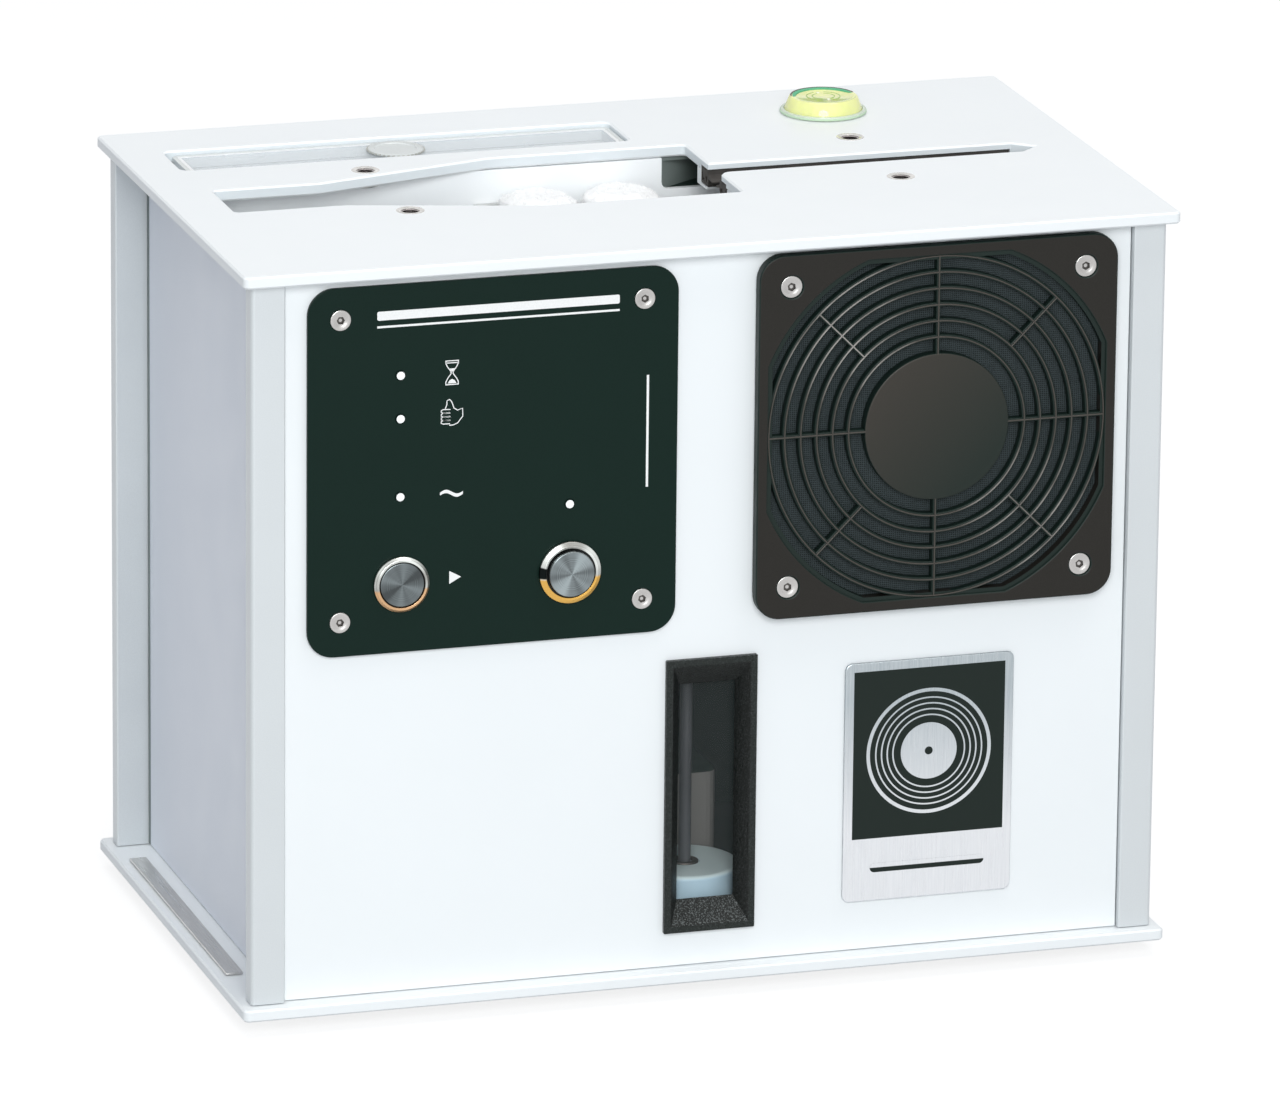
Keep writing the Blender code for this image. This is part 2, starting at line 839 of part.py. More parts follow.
def make_button(name, centre, barrel_radius, bezel_radius, bezel_height, cap_radius, cap_proud, ring_gap):
    """A panel push button: threaded barrel with a bezel and a hex nut, and a cap that slides in it."""
    seat = -(panel_outer_y + fit_gap + control_thickness + fit_gap)
    face = seat - bezel_height
    rear = seat + button_barrel_length
    bore = cap_radius + ring_gap
    shoulder = face + button_cap_thickness + button_shoulder_depth
    guide = button_stem_radius + fit_gap
    body_profile = (
        (barrel_radius, rear),
        (barrel_radius, seat),
        (bezel_radius, seat),
        (bezel_radius, face + button_bevel),
        (bezel_radius - button_bevel, face),
        (bore, face),
        (bore, shoulder),
        (guide, shoulder),
        (guide, rear),
    )
    nut_front = -(panel_inner_y - fit_gap)
    nut = prism(circle(centre, button_nut_radius, 6), nut_front, nut_front + button_nut_height, "Y",
                [circle(centre, barrel_radius - union_overlap, round_steps)])
    body = turned(body_profile, centre, "Y")
    make_part(f"{name}_body", "steel", body, added=(nut,))
    cap_front = face - cap_proud
    cap_back = cap_front + button_cap_thickness
    cap_profile = (
        (0.0, cap_front),
        (cap_radius - button_bevel, cap_front),
        (cap_radius, cap_front + button_bevel),
        (cap_radius, cap_back),
        (button_stem_radius, cap_back),
        (button_stem_radius, cap_back + button_stem_length),
        (0.0, cap_back + button_stem_length),
    )
    origin = (centre[0], cap_front, centre[1])
    make_part(f"{name}_cap", "steel", turned(cap_profile, centre, "Y"), origin=origin)


def make_buttons():
    start_centre = (start_button_x, start_button_height)
    make_button("start_button", start_centre, start_barrel_radius, start_bezel_radius,
                start_bezel_height, start_cap_radius, start_cap_proud, start_ring_gap)
    mode_centre = (mode_button_x, mode_button_height)
    make_button("mode_button", mode_centre, mode_barrel_radius, mode_bezel_radius,
                mode_bezel_height, mode_cap_radius, mode_cap_proud, mode_ring_gap)


def make_control_board():
    """The circuit board with its spacers, relays and the light pipes of the indicators."""
    board_left_x = indicator_x - board_left_margin
    board_right_x = ready_indicator_x + board_right_margin
    board_low = ready_indicator_height - board_edge_margin
    board_high = control_low + wait_indicator_rise + board_edge_margin
    spacer_front = -(panel_inner_y - fit_gap)
    front = spacer_front + board_standoff
    back = front + board_thickness
    board = prism(rectangle(board_left_x, board_right_x, board_low, board_high), front, back, "Y")
    added = []
    pipe_front = -(panel_outer_y + fit_gap + control_thickness + indicator_proud)
    pipes = [rod(place, indicator_radius, pipe_front, back - union_overlap, "Y", coarse_steps)
             for place in indicator_places()]
    added.append(merged(pipes))
    spacers = []
    for x in (board_left_x + board_standoff_inset, board_right_x - board_standoff_inset):
        for z in (board_low + board_standoff_inset, board_high - board_standoff_inset):
            spacer = rod((x, z), board_standoff_radius, spacer_front, back - union_overlap, "Y", coarse_steps)
            spacers.append(spacer)
    added.append(merged(spacers))
    relays = []
    for index in range(relay_count):
        middle = board_low + relay_rise + relay_height / 2 + index * relay_pitch
        outline = centred((board_right_x - relay_inset, middle), relay_width, relay_height)
        relays.append(prism(outline, back - union_overlap, back + relay_depth, "Y"))
    added.append(merged(relays))
    make_part("control_board", "board_green", board, added=added)


def guard_gap(inner, outer, start, end, steps):
    """One opening of the guard, between two rings and two bars."""
    half_bar = guard_bar_width / 2
    points = []
    for radius, forward in ((inner, True), (outer, False)):
        trim = math.asin(half_bar / radius)
        angles = [start + trim + (end - start - 2 * trim) * step / steps for step in range(steps + 1)]
        if not forward:
            angles.reverse()
        for angle in angles:
            x = max(-guard_flat_reach, min(guard_flat_reach, radius * math.cos(angle)))
            z = max(-guard_flat_reach, min(guard_flat_reach, radius * math.sin(angle)))
            points.append((fan_x + x, fan_centre_height + z))
    return points


def guard_corner_gap(inner, quarter):
    """The opening outside the last ring, cut off by the flats of the frame."""
    points = []
    for radius, forward in ((inner, True), (guard_size / 2, False)):
        limit = math.acos(guard_flat_reach / radius)
        span = math.pi / 2 - 2 * limit
        angles = [limit + span * step / corner_steps for step in range(corner_steps + 1)]
        if not forward:
            angles.reverse()
        for angle in angles:
            turn = quarter * math.pi / 2 + angle
            points.append((fan_x + radius * math.cos(turn), fan_centre_height + radius * math.sin(turn)))
    return points


def guard_holes():
    half_bar = guard_bar_width / 2
    pitch = (guard_flat_reach + guard_ring_lap - guard_hub_radius) / guard_ring_count
    rings = [guard_hub_radius + (index + 1) * pitch for index in range(guard_ring_count)]
    inner_radii = [guard_hub_radius - half_bar] + rings[:-1]
    holes = []
    for index, (inner, outer) in enumerate(zip(inner_radii, rings)):
        sectors = 8 if index >= guard_plain_count else 4
        steps = guard_quarter_steps * 4 // sectors
        for sector in range(sectors):
            start = math.tau * sector / sectors
            end = math.tau * (sector + 1) / sectors
            holes.append(guard_gap(inner + half_bar, outer - half_bar, start, end, steps))
    for quarter in range(4):
        holes.append(guard_corner_gap(rings[-1] + half_bar, quarter))
    return holes


def fan_blade(index, hub_face):
    """One twisted blade, from inside the hub to the tip."""
    mesh = bmesh.new()
    turn = math.tau * index / blade_count
    root = rotor_hub_radius - blade_root_sink
    middle = hub_face + rotor_hub_length / 2
    rings = []
    for section in range(blade_sections):
        share = section / (blade_sections - 1)
        radius = root + (rotor_radius - root) * share
        chord = blade_root_chord + (blade_tip_chord - blade_root_chord) * share
        pitch = blade_root_pitch + (blade_tip_pitch - blade_root_pitch) * share
        ring = []
        for along, across in ((-1, -1), (1, -1), (1, 1), (-1, 1)):
            run = along * chord / 2
            thick = across * blade_thickness / 2
            sideways = run * math.cos(pitch) - thick * math.sin(pitch)
            depth = run * math.sin(pitch) + thick * math.cos(pitch)
            around = turn + sideways / radius
            x, z = radius * math.cos(around), radius * math.sin(around)
            ring.append(mesh.verts.new((fan_x + x, middle + depth, fan_centre_height + z)))
        rings.append(ring)
    for ring, after in zip(rings, rings[1:]):
        for step in range(4):
            follow = (step + 1) % 4
            mesh.faces.new((ring[step], ring[follow], after[follow], after[step]))
    mesh.faces.new(rings[0])
    mesh.faces.new(rings[-1])
    bmesh.ops.recalc_face_normals(mesh, faces=mesh.faces)
    return mesh


def make_fan(name, end):
    """Guard, filter pad, frame and rotor of the fan at one end of the depth, -1 for the front."""
    centre = (fan_x, fan_centre_height)
    pad_back = end * (panel_outer_y + fit_gap)
    pad_face = pad_back + end * filter_pad_thickness
    pad_size = guard_size - 2 * filter_pad_border
    pad_outline = centred(centre, pad_size, pad_size, guard_corner_radius - filter_pad_border)
    make_part(f"{name}_filter_pad", "filter_mesh", prism(pad_outline, pad_back, pad_face, "Y"))
    guard_back = pad_face + end * fit_gap
    guard_face = guard_back + end * guard_depth
    guard_outline = centred(centre, guard_size, guard_size, guard_corner_radius)
    guard = prism(guard_outline, guard_back, guard_face, "Y", guard_holes())
    make_part(f"{name}_fan_guard", "black_plastic", guard)
    front, back = end * fan_front_y, end * fan_back_y
    frame_outline = centred(centre, fan_frame_size, fan_frame_size, fan_frame_corner_radius)
    frame = prism(frame_outline, front, back, "Y", [circle(centre, fan_bore_radius, fine_steps)])
    strut_front = back + end * fan_strut_thickness
    strut_reach = 2 * fan_bore_radius + 2 * cut_overrun
    across = prism(centred(centre, strut_reach, fan_strut_width), back, strut_front, "Y")
    upright = prism(centred(centre, fan_strut_width, strut_reach), back, strut_front, "Y")
    hub_plate = rod(centre, fan_hub_plate_radius, back, strut_front, "Y")
    axle = rod(centre, fan_axle_radius, back + end * union_overlap, strut_front + end * fan_axle_length, "Y",
               coarse_steps)
    struts = (across, upright, hub_plate, axle)
    make_part(f"{name}_fan_frame", "black_plastic", frame, added=struts)
    hub_back = strut_front + end * rotor_front_gap
    hub_front = hub_back + end * rotor_hub_length
    hub_profile = (
        (rotor_bore_radius, hub_back),
        (rotor_hub_radius, hub_back),
        (rotor_hub_radius, hub_front),
        (rotor_bore_radius, hub_front),
    )
    blades = merged([fan_blade(index, min(hub_back, hub_front)) for index in range(blade_count)])
    origin = (fan_x, hub_back, fan_centre_height)
    hub = turned(hub_profile, centre, "Y")
    make_part(f"{name}_fan_rotor", "black_plastic", hub, added=(blades,), origin=origin)


def bezel_reveal():
    """The sloping hollow of the window bezel, as a solid to cut with."""
    mesh = bmesh.new()
    mouth_width, mouth_tall = bezel_width - 2 * bezel_border, bezel_tall - 2 * bezel_border
    slope = (mouth_width - bezel_opening_width) / bezel_depth
    over = cut_overrun
    levels = (
        (bezel_front_y + over, mouth_width + slope * over, mouth_tall + slope * over),
        (bezel_back_y - over, bezel_opening_width - slope * over, bezel_opening_tall - slope * over),
    )
    rings = []
    for depth, width, tall in levels:
        outline = centred((window_x, window_height), width, tall)
        rings.append([mesh.verts.new((x, -depth, z)) for x, z in outline])
    for step in range(4):
        follow = (step + 1) % 4
        mesh.faces.new((rings[0][step], rings[0][follow], rings[1][follow], rings[1][step]))
    mesh.faces.new(rings[0])
    mesh.faces.new(rings[1])
    bmesh.ops.recalc_face_normals(mesh, faces=mesh.faces)
    return mesh


def make_window():
    centre = (window_x, window_height)
    seat = -(panel_outer_y + fit_gap)
    flange = prism(centred(centre, bezel_width, bezel_tall, bezel_corner_radius), -bezel_front_y, seat, "Y")
    throat_width = bezel_width - 2 * bezel_flange_overlap
    throat_tall = bezel_tall - 2 * bezel_flange_overlap
    throat = prism(centred(centre, throat_width, throat_tall), seat - union_overlap, -bezel_back_y, "Y")
    make_part("window_bezel", "black_plastic", flange, added=(throat,), cut=(bezel_reveal(),))
    pane_front = -tank_front_y
    pane = prism(centred(centre, pane_width, pane_tall), pane_front, pane_front + tank_wall, "Y")
    make_part("window_pane", "clear_plastic", pane)


def make_reservoir():
    half = tank_half_width
    outer = rectangle(-half, half, -tank_front_y, tank_rear_y, tank_corner_radius)
    inner_radius = tank_corner_radius - tank_wall
    inner = rectangle(-half + tank_wall, half - tank_wall, -tank_front_y + tank_wall, tank_rear_y - tank_wall,
                      inner_radius)
    hollow = prism(inner, tank_floor_top, tank_top + cut_overrun)
    window_width, window_tall = pane_width + 2 * fit_gap, pane_tall + 2 * fit_gap
    window = prism(centred((window_x, window_height), window_width, window_tall),
                   -tank_front_y - cut_overrun, -tank_front_y + tank_wall + cut_overrun, "Y")
    drain = rod((plug_x, plug_height), plug_shank_radius + fit_gap, tank_rear_y - tank_wall - cut_overrun,
                tank_rear_y + cut_overrun, "Y")
    make_part("reservoir_tank", "grey_plastic", prism(outer, tank_low, tank_top), cut=(hollow, window, drain))


def make_float():
    centre = (window_x, stem_y)
    foot = tank_floor_top + fit_gap
    stem_profile = (
        (0.0, foot),
        (stem_flange_radius, foot),
        (stem_flange_radius, foot + stem_flange_height),
        (stem_radius, foot + stem_flange_height),
        (stem_radius, deck_low - fit_gap),
        (0.0, deck_low - fit_gap),
    )
    make_part("float_stem", "grey_plastic", turned(stem_profile, centre, steps=coarse_steps))
    top = float_low + float_height
    float_profile = (
        (float_bore_radius, float_low),
        (float_radius - float_chamfer, float_low),
        (float_radius, float_low + float_chamfer),
        (float_radius, top - float_chamfer),
        (float_radius - float_chamfer, top),
        (float_bore_radius, top),
    )
    make_part("level_float", "white_plastic", turned(float_profile, centre, steps=fine_steps),
              origin=(window_x, stem_y, float_low))


def make_pump():
    low = tank_floor_top + fit_gap
    outline = rectangle(pump_left_x, pump_right_x, pump_front_y, pump_rear_y, pump_edge_round)
    body = prism(outline, low, pump_top)
    riser_top = basin_low - fit_gap
    riser = rod((riser_x, riser_y), riser_radius, pump_top - union_overlap, riser_top, steps=coarse_steps)
    bore = rod((riser_x, riser_y), riser_bore_radius, pump_top, riser_top + cut_overrun, steps=coarse_steps)
    make_part("pump", "grey_plastic", body, added=(riser,), cut=(bore,))


def roller_places():
    """Name, place, height of the gear and whether it is on the rear side, for each roller."""
    places = []
    for side_name, x, level in (("left", roller_left_x, 0), ("right", roller_right_x, 1)):
        for end_name, y in (("front", -roller_y), ("rear", roller_y)):
            places.append((f"{end_name}_{side_name}", (x, y), gear_low + level * gear_level_pitch))
    return places


def make_deck():
    reach_x, reach_y = side_inner_x - deck_panel_gap, post_back_y - fit_gap
    outline = rectangle(-reach_x, reach_x, -reach_y, reach_y)
    holes = []
    for _, place, _ in roller_places():
        holes.append(circle(place, spindle_journal_radius + fit_gap, coarse_steps))
    holes.append(circle((drive_x, drive_y), drive_shaft_radius + fit_gap, coarse_steps))
    holes.append(circle((riser_x, riser_y), riser_radius + fit_gap, coarse_steps))
    spout_y = (filter_front_y + filter_rear_y) / 2
    holes.append(circle((filter_spout_x, spout_y), filter_spout_radius + fit_gap, round_steps))
    make_part("chassis_deck", "steel", prism(outline, deck_low, deck_top, holes=holes))


def make_basin():
    half_x, half_y = basin_half_width, basin_half_depth
    outer = prism(rectangle(-half_x, half_x, -half_y, half_y, basin_corner_radius), basin_low, inner_high)
    inner = rectangle(-half_x + basin_wall, half_x - basin_wall, -basin_inner_y, basin_inner_y,
                      basin_corner_radius - basin_wall)
    hollow = prism(inner, basin_floor_top, inner_high + cut_overrun)
    mouth_left_x = fan_x - fan_frame_size / 2 + mouth_left_margin
    mouth_right_x = fan_x + fan_frame_size / 2 - mouth_right_margin
    mouth_low = top_low - mouth_drop
    mouth_outline = rounded([
        (mouth_left_x, mouth_low, mouth_corner_radius),
        (mouth_right_x, mouth_low, mouth_corner_radius),
        (mouth_right_x, inner_high + cut_overrun, 0.0),
        (mouth_left_x, inner_high + cut_overrun, 0.0),
    ])
    mouths = prism(mouth_outline, -half_y - cut_overrun, half_y + cut_overrun, "Y")
    floor_under, floor_over = basin_low - cut_overrun, basin_floor_top + cut_overrun
    hole_places = [(place, spindle_shaft_radius + fit_gap) for _, place, _ in roller_places()]
    hole_places.append(((riser_x, riser_y), riser_bore_radius))
    floor_holes = [rod(place, radius, floor_under, floor_over, steps=coarse_steps)
                   for place, radius in hole_places]
    legs = []
    leg_x, leg_y = half_x - basin_leg_end_inset, half_y - basin_leg_side_inset
    for place in ((-leg_x, -leg_y), (-leg_x, leg_y), (leg_x, -leg_y), (leg_x, leg_y)):
        outline = centred(place, basin_leg_width, basin_leg_depth)
        legs.append(prism(outline, deck_top + fit_gap, basin_low + union_overlap))
    cutters = (hollow, mouths, merged(floor_holes))
    make_part("wash_basin", "white_plastic", outer, added=(merged(legs),), cut=cutters)


def make_level_probe():
    """A block on the rear wall of the bath that holds two level rods beside the rollers."""
    rear = basin_inner_y - fit_gap
    front = rear - probe_thickness
    right = roller_left_x - probe_offset
    left = right - probe_width
    top = inner_high - probe_drop
    low = top - probe_block_height
    block = box((left, front, low), (right, rear, top))
    rod_y = (front + rear) / 2
    rods = [rod((x, rod_y), probe_rod_radius, top - probe_rod_length, low + union_overlap, steps=coarse_steps)
            for x in (left + probe_rod_inset, right - probe_rod_inset)]
    make_part("level_probe", "steel", block, added=(merged(rods),))


def make_air_duct(name, end):
    """A box duct from the open back of a fan to a low mouth over the rim of the bath."""
    half = fan_frame_size / 2
    low = fan_centre_height - half
    fan_side = end * (fan_back_y - fit_gap)
    bath_side = end * (basin_half_depth + fit_gap)
    left, right = fan_x - half, fan_x + half
    shell = prism(rectangle(left, right, low, inner_high), fan_side, bath_side, "Y")
    cavity_outline = rectangle(left + duct_wall, right - duct_wall, low + duct_wall, inner_high - duct_wall)
    cavity = prism(cavity_outline, fan_side + end * cut_overrun, bath_side + end * duct_wall, "Y")
    mouth_high = inner_high - duct_wall
    mouth_outline = rectangle(left + duct_mouth_margin, right - duct_mouth_margin,
                              mouth_high - duct_mouth_height, mouth_high)
    mouth_far = bath_side + end * (duct_wall + cut_overrun)
    mouth = prism(mouth_outline, bath_side - end * cut_overrun, mouth_far, "Y")
    make_part(name, "black_plastic", shell, cut=(cavity, mouth))


def make_wiper(name, side):
    """A rubber profile with a hollow chamber and a lip that slopes down towards the record."""
    high = top_low + wiper_rebate_depth - fit_gap
    low = top_low - fit_gap - wiper_body_height
    inner = slot_narrow_half_width + fit_gap
    lip_high = high - wiper_lip_top_drop
    root_high = lip_high + wiper_lip_rise
    section = [
        (wiper_body_outer, low),
        (wiper_body_outer, high),
        (inner, high),
        (inner, root_high),
        (wiper_lip_half_gap, lip_high),
        (wiper_lip_half_gap, lip_high - wiper_lip_thickness),
        (inner, root_high - wiper_lip_root),
        (inner + wiper_toe, low),
    ]
    chamber_centre = (side * (wiper_body_outer + inner) / 2, (low + high) / 2)
    chamber = circle(chamber_centre, wiper_chamber_radius, wiper_chamber_steps)
    outline = [(side * y, z) for y, z in section]
    make_part(name, "black_rubber", prism(outline, wiper_left_x, wiper_right_x, "X", [chamber]))


def gear_outline(centre, teeth, pitch_radius, phase):
    """Straight-sided teeth on a pitch circle; phase is the direction of the first tooth."""
    tip = pitch_radius + gear_module * tooth_addendum_share
    root = pitch_radius - gear_module * tooth_dedendum_share
    pitch_angle = math.tau / teeth
    points = []
    for tooth in range(teeth):
        middle = phase + tooth * pitch_angle
        for radius, share in ((root, -tooth_root_share), (tip, -tooth_tip_share), (tip, tooth_tip_share),
                              (root, tooth_root_share)):
            angle = middle + share * pitch_angle / 2
            points.append((centre[0] + radius * math.cos(angle), centre[1] + radius * math.sin(angle)))
    return points


def meshed_phase(driver_place, driver_teeth, driver_phase, place, teeth):
    """The phase that puts a gap of this gear where the driver has a tooth."""
    towards = math.atan2(place[1] - driver_place[1], place[0] - driver_place[0])
    driver_share = (towards - driver_phase) * driver_teeth / math.tau
    own_share = 0.5 - driver_share
    return towards + math.pi - own_share * math.tau / teeth


def roller_phases():
    """Tooth directions of the four roller gears, worked out from the drive gear through the train."""
    drive = (drive_x, drive_y)
    phases = {}
    for side_name, x in (("left", roller_left_x), ("right", roller_right_x)):
        rear = (x, roller_y)
        rear_phase = meshed_phase(drive, drive_teeth, 0.0, rear, roller_teeth)
        phases[f"rear_{side_name}"] = rear_phase
        front_phase = meshed_phase(rear, roller_teeth, rear_phase, (x, -roller_y), roller_teeth)
        phases[f"front_{side_name}"] = front_phase
    return phases


def make_rollers():
    phases = roller_phases()
    flange_top = sleeve_low - fit_gap
    flange_low = flange_top - spindle_flange_thickness
    for name, place, level in roller_places():
        profile = (
            (0.0, deck_top - spindle_journal_dip),
            (spindle_journal_radius, deck_top - spindle_journal_dip),
            (spindle_journal_radius, deck_top + fit_gap),
            (spindle_shaft_radius, deck_top + fit_gap),
            (spindle_shaft_radius, flange_low),
            (spindle_flange_radius, flange_low),
            (spindle_flange_radius, flange_top),
            (spindle_core_radius, flange_top),
            (spindle_core_radius, spindle_core_top),
            (0.0, spindle_core_top),
        )
        gear_points = gear_outline(place, roller_teeth, roller_pitch_radius, phases[name])
        gear = prism(gear_points, level, level + gear_face_width)
        origin = (place[0], place[1], level)
        shaft = turned(profile, place, steps=coarse_steps)
        make_part(f"roller_spindle_{name}", "steel", shaft, added=(gear,), origin=origin)
        sleeve_profile = (
            (sleeve_bore_radius, sleeve_low),
            (sleeve_radius, sleeve_low),
            (sleeve_radius, sleeve_top - sleeve_round),
            (sleeve_radius - sleeve_round, sleeve_top),
            (sleeve_bore_radius, sleeve_top),
        )
        make_part(f"roller_sleeve_{name}", "microfibre", turned(sleeve_profile, place),
                  origin=(place[0], place[1], sleeve_low))


def make_drive():
    place = (drive_x, drive_y)
    gear_points = gear_outline(place, drive_teeth, drive_pitch_radius, 0.0)
    gear = prism(gear_points, gear_low, gear_top)
    shaft_top = motor_flange_low + motor_bore_depth - fit_gap
    shaft = rod(place, drive_shaft_radius, deck_low, shaft_top, steps=coarse_steps)
    make_part("drive_gear", "nylon", gear, added=(shaft,), origin=(drive_x, drive_y, gear_low))
    flange_top = motor_flange_low + motor_flange_thickness
    body_top = filter_housing_low - motor_top_gap
    body_profile = (
        (0.0, flange_top - union_overlap),
        (motor_radius, flange_top - union_overlap),
        (motor_radius, body_top - motor_cap_length),
        (motor_radius - motor_step, body_top - motor_cap_length),
        (motor_radius - motor_step, body_top),
        (0.0, body_top),
    )
    flange = prism(centred(place, 2 * motor_flange_half_length, 2 * motor_flange_half_width),
                   motor_flange_low, flange_top)
    bore = rod(place, drive_shaft_radius + fit_gap, motor_flange_low - cut_overrun,
               motor_flange_low + motor_bore_depth, steps=coarse_steps)
    legs = []
    for side in (-1, 1):
        centre = (drive_x + side * motor_leg_offset, drive_y)
        outline = centred(centre, motor_leg_width, 2 * motor_flange_half_width)
        legs.append(prism(outline, deck_top + fit_gap, motor_flange_low + union_overlap))
    make_part("drive_motor", "steel", turned(body_profile, place), added=(flange, merged(legs)), cut=(bore,))


def make_transducer():
    centre = (transducer_inset - basin_half_width, basin_low + transducer_rise)
    front = -(basin_half_depth + fit_gap)
    front_end = front - transducer_front_length
    ring_end = front_end - transducer_ring_length
    tail_end = ring_end - transducer_tail_length
    profile = (
        (0.0, front),
        (transducer_front_radius, front),
        (transducer_tail_radius, front_end),
        (transducer_ring_radius, front_end),
        (transducer_ring_radius, ring_end),
        (transducer_tail_radius, ring_end),
        (transducer_tail_radius, tail_end),
        (0.0, tail_end),
    )
    make_part("ultrasonic_transducer", "anodised", turned(profile, centre, "Y"))


def make_filter():
    """Housing hung under the top plate, its foam cartridge and the clear cover with its knob."""
    spout_y = (filter_front_y + filter_rear_y) / 2
    left, right = filter_housing_left_x, filter_right_x + panel_thickness / 2
    front, rear = filter_front_y - filter_wall, filter_rear_y + filter_wall
    shell = prism(rectangle(left, right, front, rear), filter_housing_low, inner_high)
    ledge = top_low - filter_ledge_drop
    pocket = box((left - cut_overrun, filter_front_y, ledge),
                 (filter_right_x, filter_rear_y, inner_high + cut_overrun))
    floor_top = filter_housing_low + filter_wall
    well_low = (left + filter_ledge_width, filter_front_y + filter_ledge_width, floor_top)
    well_high = (filter_right_x - filter_ledge_width, filter_rear_y - filter_ledge_width, ledge + cut_overrun)
    spout_place = (filter_spout_x, spout_y)
    spout_low = deck_low - filter_spout_dip
    spout = rod(spout_place, filter_spout_radius, spout_low, filter_housing_low + union_overlap)
    bore = rod(spout_place, filter_spout_bore, spout_low - cut_overrun, floor_top + cut_overrun)
    well = box(well_low, well_high)
    make_part("filter_housing", "white_plastic", shell, added=(spout,), cut=(pocket, well, bore))
    gap = cartridge_clearance
    cartridge_low = (well_low[0] + gap, well_low[1] + gap, floor_top + fit_gap)
    cartridge_high = (well_high[0] - gap, well_high[1] - gap, ledge - cartridge_top_drop)
    make_part("filter_cartridge", "foam", box(cartridge_low, cartridge_high))
    cover_low = ledge + fit_gap
    cover_top = cover_low + cover_thickness
    cover_outline = rectangle(left + fit_gap, filter_right_x - fit_gap, filter_front_y + fit_gap,
                              filter_rear_y - fit_gap, cover_corner_radius)
    knob_place = (knob_x, spout_y)
    knob_profile = (
        (0.0, cover_top - union_overlap),
        (knob_waist_radius, cover_top - union_overlap),
        (knob_waist_radius, cover_top),
        (knob_radius, cover_top + knob_height / 2),
        (knob_radius, cover_top + knob_height),
        (0.0, cover_top + knob_height),
    )
    make_part("filter_cover", "clear_plastic", prism(cover_outline, cover_low, cover_top),
              added=(turned(knob_profile, knob_place),), origin=(knob_x, spout_y, cover_low))


def make_bubble_level():
    low = top_face + fit_gap
    flange_top = low + level_flange_height
    high = top_face + level_height
    profile = (
        (0.0, low),
        (level_flange_radius, low),
        (level_flange_radius, flange_top),
        (level_body_radius, flange_top),
        (level_top_radius, high - level_rim_round),
        (level_top_radius - level_rim_round, high),
        (0.0, high),
    )
    place = (body_half_width - level_end_inset, body_half_depth - level_rear_inset)
    make_part("bubble_level", "level_fluid", turned(profile, place, steps=fine_steps))


def make_trim():
    back = -(panel_outer_y + fit_gap)
    centre = (fan_x + name_plate_offset, inner_low + name_plate_rise + name_plate_tall / 2)
    outline = centred(centre, name_plate_width, name_plate_tall, name_plate_corner_radius)
    make_part("name_plate", "steel", prism(outline, back - name_plate_thickness, back, "Y"))
    left, front = strip_edge_gap - body_half_width, strip_offset - strip_length / 2
    low = base_top + fit_gap
    strip = box((left, front, low), (left + strip_width, front + strip_length, low + strip_thickness))
    make_part("base_strip", "steel", strip)


def make_power_inlet():
    centre = (inlet_x, inlet_height)
    seat = panel_outer_y + fit_gap
    face = seat + inlet_flange_thickness
    flange_outline = centred(centre, inlet_flange_width, inlet_flange_tall, inlet_corner_radius)
    flange = prism(flange_outline, seat, face, "Y")
    body = prism(centred(centre, inlet_body_width, inlet_body_tall, inlet_corner_radius),
                 seat - inlet_body_depth, seat + union_overlap, "Y")
    socket_floor = face - inlet_socket_depth
    pin_holes = []
    for step in (-1, 0, 1):
        pin_centre = (inlet_x + step * inlet_pin_pitch, inlet_height)
        pin_holes.append(centred(pin_centre, inlet_pin_width, inlet_pin_tall))
    opening = centred(centre, inlet_socket_width, inlet_socket_tall)
    pin_level = socket_floor + inlet_pin_length
    around_pins = prism(opening, socket_floor, pin_level, "Y", pin_holes)
    over_pins = prism(opening, pin_level - union_overlap, face + cut_overrun, "Y")
    make_part("power_inlet", "black_plastic", flange, added=(body,), cut=(around_pins, over_pins))


def make_drain_plug():
    centre = (plug_x, plug_height)
    seat = panel_outer_y + fit_gap
    outline = []
    for step in range(plug_grip_count * 2):
        angle = math.tau * step / (plug_grip_count * 2)
        radius = plug_head_radius - (step % 2) * plug_grip_depth
        outline.append((centre[0] + radius * math.cos(angle), centre[1] + radius * math.sin(angle)))
    head = prism(outline, seat, seat + plug_head_height, "Y")
    inner_end = tank_rear_y - tank_wall - plug_inner_reach
    shank = rod(centre, plug_shank_radius, inner_end, seat + union_overlap, "Y")
    make_part("drain_plug", "black_plastic", head, added=(shank,), origin=(plug_x, seat, plug_height))


def main():
    clear_scene()
    make_base_plate()
    make_top_plate()
    make_posts()
    make_feet()
    make_front_panel()
    make_rear_panel()
    make_side_panels()
    make_control_plate()
    make_buttons()
    make_control_board()
    make_fan("front", -1)
    make_fan("rear", 1)
    make_window()
    make_reservoir()
    make_float()
    make_pump()
    make_deck()
    make_basin()
    make_level_probe()
    make_air_duct("air_duct_front", -1)
    make_air_duct("air_duct_rear", 1)
    make_wiper("wiper_front", -1)
    make_wiper("wiper_rear", 1)
    make_rollers()
    make_drive()
    make_transducer()
    make_filter()
    make_bubble_level()
    make_trim()
    make_power_inlet()
    make_drain_plug()


main()
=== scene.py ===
"""Dressed model of an upright record cleaning machine, laid out as a Blender add-on.

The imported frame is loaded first; every piece made here stands on it and rides on one of its bodies.
Lengths are in metres, and in millimetres inside mm().
"""

import math

import bmesh
import bpy
from bpy.props import FloatProperty, FloatVectorProperty, IntProperty, PointerProperty
from mathutils import Matrix, Vector, noise


